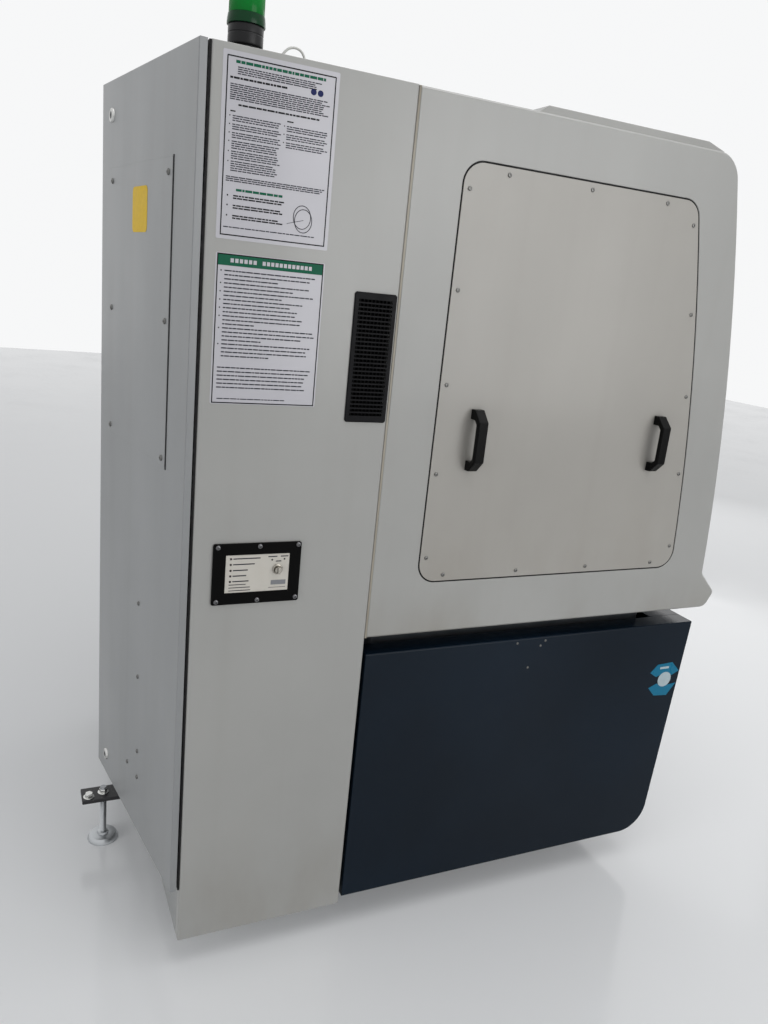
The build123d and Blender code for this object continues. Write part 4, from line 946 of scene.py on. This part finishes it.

# Vent in the cabinet's left side: a moulded black grille of fine slats in its opening, with upright
# bars behind the slats and a dark filter mat behind the bars. The bars are a darker black than the slats, as
# painted shade where they sit back behind them.

slat_plastic = moulding("slat_plastic", linear(21, 21, 23), 0.40, 700)
slat_plastic.mirror(0.08)
eased("vent_grille", slat_plastic, 0.0005)
vent_low, vent_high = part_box("vent_grille")
vent_middle = (vent_low.z + vent_high.z) / 2
bar_count, bar_span = 9, 0.080
bar_size = (0.262, 0.0022, 0.0016)
vent_bars = []
for i in range(bar_count):
    bar_y = vent_low.y + 0.010 + (i + 0.5) * bar_span / bar_count
    vent_bars.append(((left_x + 0.0006, bar_y, vent_middle), bar_size))
# The bars take a darker plastic than the slats: painted shade, as they sit back behind the slats.
sized_row("vent_bars", unit, vent_bars, (-1, 0, 0), matt_plastic, "black_plastic")
filter_mat = Finish("filter_mat", linear(5, 5, 6), 0.9)
filter_mat.mirror(0.02)
filter_mat.mottle(350, 4, linear(3, 3, 4), linear(11, 11, 12))
filter_mat.relief(filter_mat.noise(420, 4), 0.0012)
filter_block = block((left_x + 0.0032, vent_low.y + 0.003, vent_low.z + 0.003),
                     (left_x + 0.013, vent_high.y - 0.003, vent_high.z - 0.003))
piece("vent_filter", filter_block, filter_mat, "machine", "black_rubber")

# Two printed paper sheets in clear pockets on the cabinet's side, left as plain fields: a frame line,
# coloured title bars and rows of short grey bars. A bar is (near, far, drop, height).

chance = random.Random(7)


def lines_of_bars(along, down, pitch=0.0037, ink=0.0020):
    """Rows of bars of uneven length, as a block of small print looks from a few steps away."""
    bars = []
    drop = down[0]
    while drop < down[1]:
        start = along[0]
        end = along[1] - chance.random() * 0.10 * (along[1] - along[0])
        while start < end - 0.004:
            length = min(chance.uniform(0.004, 0.015), end - start)
            bars.append((start, start + length, drop, ink))
            start += length + 0.0013
        drop += pitch
    return bars


def printed(name, bars, finish, proud):
    """Flat printed bars on the left side."""
    places = [(on_side((near + far) / 2, drop, proud), (-1, 0, 0)) for near, far, drop, high in bars]
    sizes = [(high, far - near, ink_film) for near, far, drop, high in bars]
    return row_of(name, unit, places, finish, "machine", "white_print", sizes=sizes)


ink_film = 0.0002
on_paper = 0.0005
paper = Finish("printed_paper", linear(189, 188, 194), 0.32)
paper.mottle(7, 3, linear(184, 183, 189), linear(193, 192, 198))
paper.patchy(12, 3, 0.3, 0.7, 0.285, 0.42)
paper.coat(0.4, 0.12)
grey_ink = print_ink("grey_ink", linear(44, 45, 53))
green_ink = print_ink("green_ink", linear(3, 90, 64))
blue_ink = print_ink("blue_ink", linear(26, 34, 84))
black_ink = print_ink("black_ink", linear(14, 14, 17))
sheet_outlines = [rounded((0.022, 0.256), (0.012, 0.349), 0.003),
                  rounded((0.024, 0.254), (0.375, 0.677), 0.003)]
flats("paper_sheets", on_side, sheet_outlines, (0, on_paper), paper)
frame_lines = [(0.0305, 0.2480, 0.0217, 0.0024), (0.0300, 0.2486, 0.3408, 0.0024),
               (0.0298, 0.0321, 0.1812, 0.3190), (0.2465, 0.2488, 0.1812, 0.3190),
               (0.0268, 0.2512, 0.3775, 0.0024), (0.0268, 0.2512, 0.6745, 0.0024),
               (0.0268, 0.0291, 0.5260, 0.2970), (0.2489, 0.2512, 0.5260, 0.2970)]
bold_bars = lines_of_bars((0.037, 0.153), (0.058, 0.059), ink=0.0036)
bold_bars += lines_of_bars((0.055, 0.221), (0.104, 0.105), ink=0.0032)
bold_bars += [(0.153, 0.166, 0.117, 0.0024), (0.040, 0.050, 0.116, 0.0024)]
bold_bars += [(0.0385, 0.0405, drop, 0.0022) for drop in (0.124, 0.139, 0.154, 0.169, 0.187, 0.205)]
bold_bars += [(0.1470, 0.1490, drop, 0.0022) for drop in (0.126, 0.141, 0.156)]
for first in (0.267, 0.285, 0.304):
    bold_bars += lines_of_bars((0.053, 0.161), (first, first + 0.005), 0.0046, 0.0027)
    bold_bars += [(0.0405, 0.0430, first, 0.0030)]
printed("sheet_frame_lines", frame_lines + bold_bars, black_ink, on_paper)
green_bars = lines_of_bars((0.047, 0.232), (0.030, 0.031), ink=0.0052)
green_bars += lines_of_bars((0.058, 0.159), (0.256, 0.257), ink=0.0046) + [(0.0284, 0.2496, 0.3885, 0.0210)]
printed("sheet_green_bars", green_bars, green_ink, on_paper)
title_bars = [(0.0540 + i * 0.0094, 0.0606 + i * 0.0094, 0.3885, 0.0078) for i in range(6)]
title_bars += [(0.1200 + i * 0.0090, 0.1264 + i * 0.0090, 0.3885, 0.0078) for i in range(12)]
printed("sheet_title_bars", title_bars, paper, on_paper + ink_film)
small_print = lines_of_bars((0.051, 0.223), (0.039, 0.051)) + lines_of_bars((0.038, 0.241), (0.069, 0.097))
for first, last in ((0.124, 0.134), (0.139, 0.149), (0.154, 0.164), (0.169, 0.182), (0.187, 0.200),
                    (0.205, 0.222)):
    small_print += lines_of_bars((0.045, 0.143), (first, last), 0.0041)
for first, last in ((0.126, 0.136), (0.141, 0.151), (0.156, 0.168)):
    small_print += lines_of_bars((0.153, 0.241), (first, last), 0.0041)
small_print += lines_of_bars((0.037, 0.240), (0.233, 0.244))
small_print += lines_of_bars((0.036, 0.240), (0.326, 0.328))
line_top, line_pitch = 0.4090, 0.00805
line_ends = (0.240, 0.234, 0.160, 0.240, 0.205, 0.240, 0.170, 0.214, 0.196, 0.216, 0.208, 0.228, 0.224, 0.112,
             0.240, 0.243, 0.216, 0.134, 0.240, 0.243, 0.243, 0.148)
for line, far in enumerate(line_ends):
    drop = line_top + line * line_pitch
    small_print += lines_of_bars((0.0427, far), (drop, drop + 0.0001), ink=0.0025)
bold_marks = [(0.0345, 0.0370, line_top + line * line_pitch, 0.0026) for line in (0, 3, 5, 7, 9, 11, 14, 18)]
printed("sheet_line_marks", bold_marks, black_ink, on_paper)
small_print += lines_of_bars((0.036, 0.243), (0.6015, 0.643), 0.0082, 0.0025)
small_print += lines_of_bars((0.038, 0.190), (0.666, 0.667))
printed("sheet_small_print", small_print, grey_ink, on_paper)
sheet_dots = [oval(centre, 0.0060, 0.0060) for centre in ((0.2032, 0.0554), (0.2176, 0.0560))]
flats("sheet_dots", on_side, sheet_dots, (on_paper, on_paper + ink_film), blue_ink)
ring_paths = [[on_side(*point, on_paper) for point in oval(centre, 0.0185, 0.0225, 36)] for centre in
              ((0.1965, 0.2905), (0.1995, 0.2975))]
bead("sheet_rings", ring_paths, 0.0008, grey_ink, "machine", "white_print", sides=6)
leader = [(0.165, 0.3052), (0.200, 0.2952), (0.200, 0.2962), (0.165, 0.3062)]
flats("sheet_leader", on_side, [leader], (on_paper, on_paper + ink_film), grey_ink)

# Display panel: a moulded black frame held by six screws round a printed white plate, with a row of
# small lamps, plain coloured fields and a key switch in a chromed collar.

eased("display_bezel", matt_plastic, 0.0010)
plate_white = Finish("plate_white", linear(204, 200, 191), 0.35)
plate_white.mottle(30, 3, linear(198, 194, 184), linear(208, 204, 196))
eased("display_plate", plate_white, 0.0004)
on_bezel, on_plate = 0.005, 0.004
bezel_screws = [(0.0555, 0.9936), (0.1500, 0.9935), (0.2400, 0.9925), (0.0555, 1.1215), (0.1495, 1.1215),
                (0.2400, 1.1200)]
row_of("bezel_screws", button_head(0.0060, 0.0036), on_left(bezel_screws, on_bezel),
       plated("burnished_screws", linear(104, 104, 106), 0.22), "machine", "bright_screw", spin=math.tau,
       seed=8)
lamp_drops = (1.0216, 1.0350, 1.0489, 1.0621, 1.0752)
lamp_lens = turned([(0, 0), (0.0026, 0), (0.0026, 0.0006), (0.0020, 0.0014), (0.0008, 0.0018),
                    (0, 0.0018)], 14)
row_of("small_lamps", lamp_lens, on_left([(0.0857, drop) for drop in lamp_drops], on_plate),
       moulding("lamp_window", linear(38, 22, 24), 0.14), "machine", "black_plastic")
lamp_line_ends = (0.153, 0.140, 0.125, 0.122, 0.128)
plate_bars = [(0.091, end, drop, 0.0026) for end, drop in zip(lamp_line_ends, lamp_drops)]
plate_bars += [(0.083, end, drop, 0.0018) for end, drop in ((0.122, 1.083), (0.132, 1.090), (0.133, 1.097))]
plate_bars += [(0.171, 0.192, 1.0195, 0.0024), (0.200, 0.218, 1.0195, 0.0024), (0.189, 0.202, 1.0310, 0.0024)]
plate_bars += [(0.175, 0.215, 1.0940, 0.0010)]
printed("plate_bars", plate_bars, grey_ink, on_plate)
field_grey = print_ink("field_grey", linear(132, 134, 138))
printed("plate_field", [(0.180, 0.215, 1.0820, 0.0110)], field_grey, on_plate)
plate_dots = [oval(centre, 0.0021, 0.0021, 16) for centre in ((0.1803, 1.0272), (0.2093, 1.0265))]
flats("plate_dots", on_side, plate_dots, (on_plate, on_plate + 0.0003), black_ink)
key_steel = plated("key_steel", linear(166, 162, 154), 0.18)
collar = turned([(0.0084, 0.0040), (0.0120, 0.0040), (0.0120, 0.0068), (0.0112, 0.0077), (0.0098, 0.0080),
                 (0.0084, 0.0074)], 40, ring=True)
piece("key_collar", standing(collar, on_side(0.194, 1.050), (-1, 0, 0)), key_steel, "machine", "bright_screw",
      smooth=30)
eased("key_switch", key_steel, 0.0006)

# Signal lamp: a green ribbed lens, moulded in one with a darker skirt, on a black collar and foot of
# moulded plastic. A short white cable leaves the foot, arches and goes down through a grommet in the roof.

lens_low, lens_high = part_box("beacon_lens")
lamp_x = (lens_low.x + lens_high.x) / 2
lamp_place = (lamp_x, (lens_low.y + lens_high.y) / 2, roof_z)
lens_z = lens_low.z - roof_z


def ribbed(mesh, radius, levels, count, depth):
    """Press upright ribs into a turned mesh between two levels."""
    for vertex in mesh.vertices:
        if levels[0] < vertex.co.z < levels[1] and math.hypot(vertex.co.x, vertex.co.y) > radius:
            step = round(math.atan2(vertex.co.y, vertex.co.x) / math.tau * count * 2)
            if step % 2:
                vertex.co.xy *= 1 - depth / math.hypot(vertex.co.x, vertex.co.y)
    return mesh


lamp_green = Finish("lamp_green", linear(8, 136, 52), 0.16)
lamp_green.mirror(0.14)
lamp_green.patchy(30, 3, 0.3, 0.7, 0.12, 0.20)
# The lens is painted darker low down and brighter towards its top: painted light from above.
lamp_green.paint(lamp_green.mix(lamp_green.ramp(lamp_green.axis("Z"), roof_z + 0.07, roof_z + 0.15),
                                linear(1, 106, 36), linear(2, 150, 56)))
skirt_green = moulding("skirt_green", linear(1, 56, 26), 0.22)
skirt_green.mirror(0.20)
collar_plastic = moulding("lamp_collar_plastic", linear(17, 17, 19), 0.34)
collar_plastic.mirror(0.28)


def lamp_part(name, mesh, finish, slot, *stands_for):
    """A turned part of the lamp, given by its heights above the roof."""
    return piece(name, standing(mesh, lamp_place), finish, "machine", slot, *stands_for, smooth=30)


lens_profile = [(0, 0.074), (0.0345, 0.074), (0.0352, 0.076), (0.0350, 0.088), (0.0348, 0.134),
                (0.0330, 0.1405), (0.0285, 0.1455), (0.0200, 0.1485), (0.0090, 0.1497), (0, 0.150)]
skirt_profile = [(0, lens_z), (0.0376, lens_z), (0.0380, lens_z + 0.002), (0.0372, 0.066),
                 (0.0362, 0.0735), (0.0345, 0.0745), (0, 0.0745)]
collar_profile = [(0, 0.018), (0.0338, 0.018), (0.0345, 0.019), (0.0350, 0.0215), (0.0350, 0.0365),
                  (0.0343, 0.0375), (0.0343, 0.0390), (0.0350, 0.0400), (0.0350, 0.0525), (0.0340, 0.055),
                  (0, 0.055)]
foot_profile = [(0, 0), (0.0322, 0), (0.0330, 0.001), (0.0330, 0.013), (0.0322, 0.0165), (0.0300, 0.018),
                (0, 0.018)]
lens_mesh = ribbed(turned(lens_profile, 96), 0.030, (0.078, 0.138), 48, 0.0009)
lamp_part("lamp_lens", lens_mesh, lamp_green, "lamp_green", "beacon_lens")
lamp_part("lamp_skirt", turned(skirt_profile, 64), skirt_green, "lamp_green")
lamp_part("lamp_collar", turned(collar_profile, 64), collar_plastic, "black_plastic", "beacon_base")
lamp_part("lamp_foot", turned(foot_profile, 64), black_plastic, "black_plastic")

cable_radius = 0.0025
# The cable's way from the foot to the grommet, as reach and as rise above the roof.
cable_points = [(0.1185, 0.009), (0.156, 0.011), (0.174, 0.037), (0.201, 0.037), (0.213, 0.013),
                (0.213, -0.006)]
cable_line = bpy.data.curves.new("lamp_cable_line", "CURVE")
cable_line.dimensions = "3D"
cable_line.bevel_resolution = 4
cable_line.resolution_u = 12
cable_line.use_fill_caps = True
cable_spline = cable_line.splines.new("NURBS")
cable_spline.points.add(len(cable_points) - 1)
for point, (reach, rise) in zip(cable_spline.points, cable_points):
    point.co = (lamp_x, rear_y - reach, roof_z + rise, 1)
cable_spline.order_u = 3
cable_spline.use_endpoint_u = True
cable_curve = bpy.data.objects.new("lamp_cable_line", cable_line)
bpy.context.collection.objects.link(cable_curve)


def drawn_cable(radius):
    """The cable's line as a mesh: its path alone, or a tube round it."""
    cable_line.bevel_depth = radius
    return evaluated(cable_curve)


cable_path = [vertex.co.copy() for vertex in drawn_cable(0.0).vertices]
cable_mesh = faced_outward(drawn_cable(cable_radius), merged=1e-6)
bpy.data.objects.remove(cable_curve)
cable_white = Finish("cable_white", linear(216, 216, 212), 0.42)
cable_white.mottle(120, 3, linear(200, 200, 196), linear(222, 222, 218))
cable = piece("lamp_cable", cable_mesh, cable_white, "machine", "white_cable", "beacon_cable", smooth=60)
grommet = turned([(0.0027, -0.001), (0.0048, -0.001), (0.0048, 0.0003), (0.0072, 0.0003), (0.0072, 0.0016),
                  (0.0058, 0.0026), (0.0034, 0.0032), (0.0027, 0.0030)], 24, ring=True)
grommet_place = (lamp_x, rear_y - cable_points[-1][0], roof_z)
piece("cable_grommet", standing(grommet, grommet_place), cable_white, "machine", "white_cable")

# Front of the enclosure: one bowed frame, and behind it a sliding door of the same radius with a
# clear pane in a rubber bead, a moulded pull bar and plain steel guide rails.


def circle_through(first, second, third):
    """Centre and radius of the circle through three points."""
    (ax, ay), (bx, by), (cx, cy) = first, second, third
    double = 2 * (ax * (by - cy) + bx * (cy - ay) + cx * (ay - by))
    a, b, c = ax * ax + ay * ay, bx * bx + by * by, cx * cx + cy * cy
    centre = ((a * (by - cy) + b * (cy - ay) + c * (ay - by)) / double,
              (a * (cx - bx) + b * (ax - cx) + c * (bx - ax)) / double)
    return centre, math.hypot(ax - centre[0], ay - centre[1])


# Reach and drop of the bow at its brow, near its middle and at its foot.
bow_centre, bow_radius = circle_through((1.338, 0.0), (1.468, 0.603), (1.521, 1.137))


def on_bow(x, drop, proud=0.0):
    """A point on the bowed front, or this far outside it."""
    reach = bow_centre[0] + math.sqrt((bow_radius + proud) ** 2 - (drop - bow_centre[1]) ** 2)
    return Vector((x, rear_y - reach, roof_z - drop))


eased("front_frame", body_enamel, 0.0012)
eased("front_door", body_enamel, 0.0012)
eased("front_door_handle", black_plastic, 0.003, segments=3)
window_glass = Finish("window_glass", (0.80, 0.86, 0.87), 0.04)
window_glass.shader.inputs["Transmission Weight"].default_value = 0.9
window_glass.shader.inputs["IOR"].default_value = 1.45
window_glass.patchy(9, 4, 0.4, 0.8, 0.03, 0.10)
dress(window_glass, "front_door_window")
pane_low, pane_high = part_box("front_door_window")
pane_top, pane_bottom = roof_z - pane_high.z, roof_z - pane_low.z
corner = 0.015
upright = pane_bottom - pane_top - 2 * corner
steps = 20
bead_outline = [(pane_low.x + corner, pane_top), (pane_high.x - corner, pane_top)]
bead_outline += [(pane_high.x, pane_top + corner + upright * i / steps) for i in range(steps + 1)]
bead_outline += [(pane_high.x - corner, pane_bottom), (pane_low.x + corner, pane_bottom)]
bead_outline += [(pane_low.x, pane_bottom - corner - upright * i / steps) for i in range(steps + 1)]
bead("window_bead", [[on_bow(x, drop, -0.0125) for x, drop in bead_outline]], 0.005, gasket_rubber,
     body_of["front_door"], "black_rubber")
dress(zinc, "door_rails", "chamber_tray")

# Console: a folded housing on the fixed right of the front, with a dark screen of plain fields, a
# mushroom stop button in a yellow ring, a start button and a ribbed setting knob.

console_low, console_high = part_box("console_panel")
console_y = console_low.y


def on_console(x, drop, proud=0.0):
    """A point on the console's face."""
    return Vector((x, console_y - proud, roof_z - drop))


eased("console_panel", door_enamel, 0.0015)
screen_glass = Finish("screen_glass", linear(22, 24, 27), 0.12)
screen_glass.patchy(12, 4, 0.4, 0.8, 0.08, 0.2)
dress(screen_glass, "console_screen")
screen_low, screen_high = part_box("console_screen")
field_left, field_right = screen_low.x + 0.012, screen_high.x - 0.012
split_left, split_right = screen_low.x + 0.205, screen_low.x + 0.213
screen_fields = [oblong((field_left, field_right), (0.412, 0.426)),
                 oblong((field_left, split_left), (0.434, 0.600)),
                 oblong((split_right, field_right), (0.434, 0.512)),
                 oblong((split_right, field_right), (0.520, 0.600))]
key_pitch, key_width = 0.054, 0.046
for i in range(6):
    key_left = field_left + i * key_pitch
    screen_fields.append(oblong((key_left, key_left + key_width), (0.610, 0.640)))
flats("screen_fields", on_console, screen_fields, (-0.0010, -0.0006),
      print_ink("screen_print", linear(58, 82, 98), 0.15), slot="screen_glass")
stop_red = moulding("stop_red", linear(186, 24, 20), 0.28)
start_green = moulding("start_green", linear(40, 140, 60), 0.28)


def button_axis(node):
    """Where a console button's axis meets the console's face."""
    low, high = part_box(node)
    return Vector(((low.x + high.x) / 2, console_y, (low.z + high.z) / 2))


stem = 0.009
stop_profile = [(0, -0.022), (stem, -0.022), (stem, 0.008), (0.0185, 0.008), (0.0198, 0.010),
                (0.0200, 0.0135), (0.0188, 0.0175), (0.0160, 0.0202), (0.0100, 0.0216), (0, 0.0220)]
start_profile = [(0, -0.022), (stem, -0.022), (stem, 0.004), (0.0138, 0.004), (0.0140, 0.0048),
                 (0.0138, 0.0083), (0.0128, 0.0090), (0.0060, 0.0086), (0, 0.0085)]
ring_hole = 0.0096
stop_ring = turned([(ring_hole, 0), (0.0290, 0), (0.0290, 0.0008), (0.0280, 0.0014), (ring_hole, 0.0014)], 48,
                   ring=True)
start_ring = turned([(ring_hole, 0), (0.0175, 0), (0.0175, 0.0020), (0.0165, 0.0032), (0.0150, 0.0032),
                     (0.0148, 0.0006), (ring_hole, 0.0006)], 48, ring=True)
for node, profile, finish, cap in (("emergency_stop", stop_profile, stop_red, "stop_mushroom"),
                                   ("start_button", start_profile, start_green, "start_cap")):
    piece(cap, standing(turned(profile, 40), button_axis(node), (0, -1, 0)), finish, body_of[node],
          slot_of[node], node, smooth=30)
piece("stop_ring", standing(stop_ring, button_axis("emergency_stop"), (0, -1, 0)), yellow_ink, "machine",
      "white_print")
piece("start_ring", standing(start_ring, button_axis("start_button"), (0, -1, 0)), chrome, "machine",
      "bright_screw", smooth=30)
eased("override_knob", black_plastic, 0.0008)
console_screws = [(on_console(x, drop), (0, -1, 0)) for x in (console_low.x + 0.018, console_high.x - 0.018)
                  for drop in (0.395, 0.845)]
row_of("console_screws", button_head(0.0045, 0.0022), console_screws, bright, "machine", "bright_screw",
       spin=math.tau, seed=9)

# Grinding mechanism: ground rails on the bed, painted iron castings for the column, the spindle head
# and the workhead, and a stack of grinding wheels with steel hubs clamped on one arbor.

grey_enamel = casting_paint("grey_enamel", linear(150, 153, 153))
eased("wheel_column", grey_enamel, 0.003)
eased("spindle_head", grey_enamel, 0.002)
eased("workhead", grey_enamel, 0.002)
eased("work_table", ground, 0.001)
eased("collet_spindle", ground, 0.0006)
dress(ground, "bed_rails")
abrasive = Finish("abrasive", linear(140, 122, 104), 0.9)
grit = abrasive.noise(900, 4)
abrasive.paint(abrasive.mix(abrasive.ramp(grit, 0.4, 0.6), linear(96, 84, 72), linear(168, 150, 130)))
abrasive.relief(grit, 0.0008)
pack_low, pack_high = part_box("wheel_pack")
pack_axis = (pack_low + pack_high) / 2
stack_place = (pack_low.x + 0.050, pack_axis.y, pack_axis.z)
wheel_stack = [(0.036, 0.006), (0.075, 0.012), (0.030, 0.014), (0.062, 0.010), (0.030, 0.012), (0.050, 0.014),
               (0.022, 0.010)]
rims, hub_profile = [], [(0, -0.050), (0.0175, -0.050), (0.0180, -0.049), (0.0180, 0)]
smallest_wheel, rim_depth = 0.045, 0.012
along = 0.0
for radius, thickness in wheel_stack:
    if radius > smallest_wheel:
        hub = radius - rim_depth
        rim = [(hub, along + 0.0002), (radius - 0.0008, along + 0.0002), (radius, along + 0.001),
               (radius, along + thickness - 0.001), (radius - 0.0008, along + thickness - 0.0002),
               (hub, along + thickness - 0.0002)]
        rims.append(standing(turned(rim, 64, ring=True), stack_place, (1, 0, 0)))
        radius = hub
    hub_profile += [(radius - 0.0008, along), (radius, along + 0.0008), (radius, along + thickness - 0.0008),
                    (radius - 0.0008, along + thickness)]
    along += thickness
hub_profile += [(0, along)]
piece("wheel_hubs", standing(turned(hub_profile, 64), stack_place, (1, 0, 0)), ground, body_of["wheel_pack"],
      "ground_steel", "wheel_pack", smooth=30)
piece("wheel_rims", together("wheel_rims", rims), abrasive, body_of["wheel_pack"], "abrasive", smooth=30)
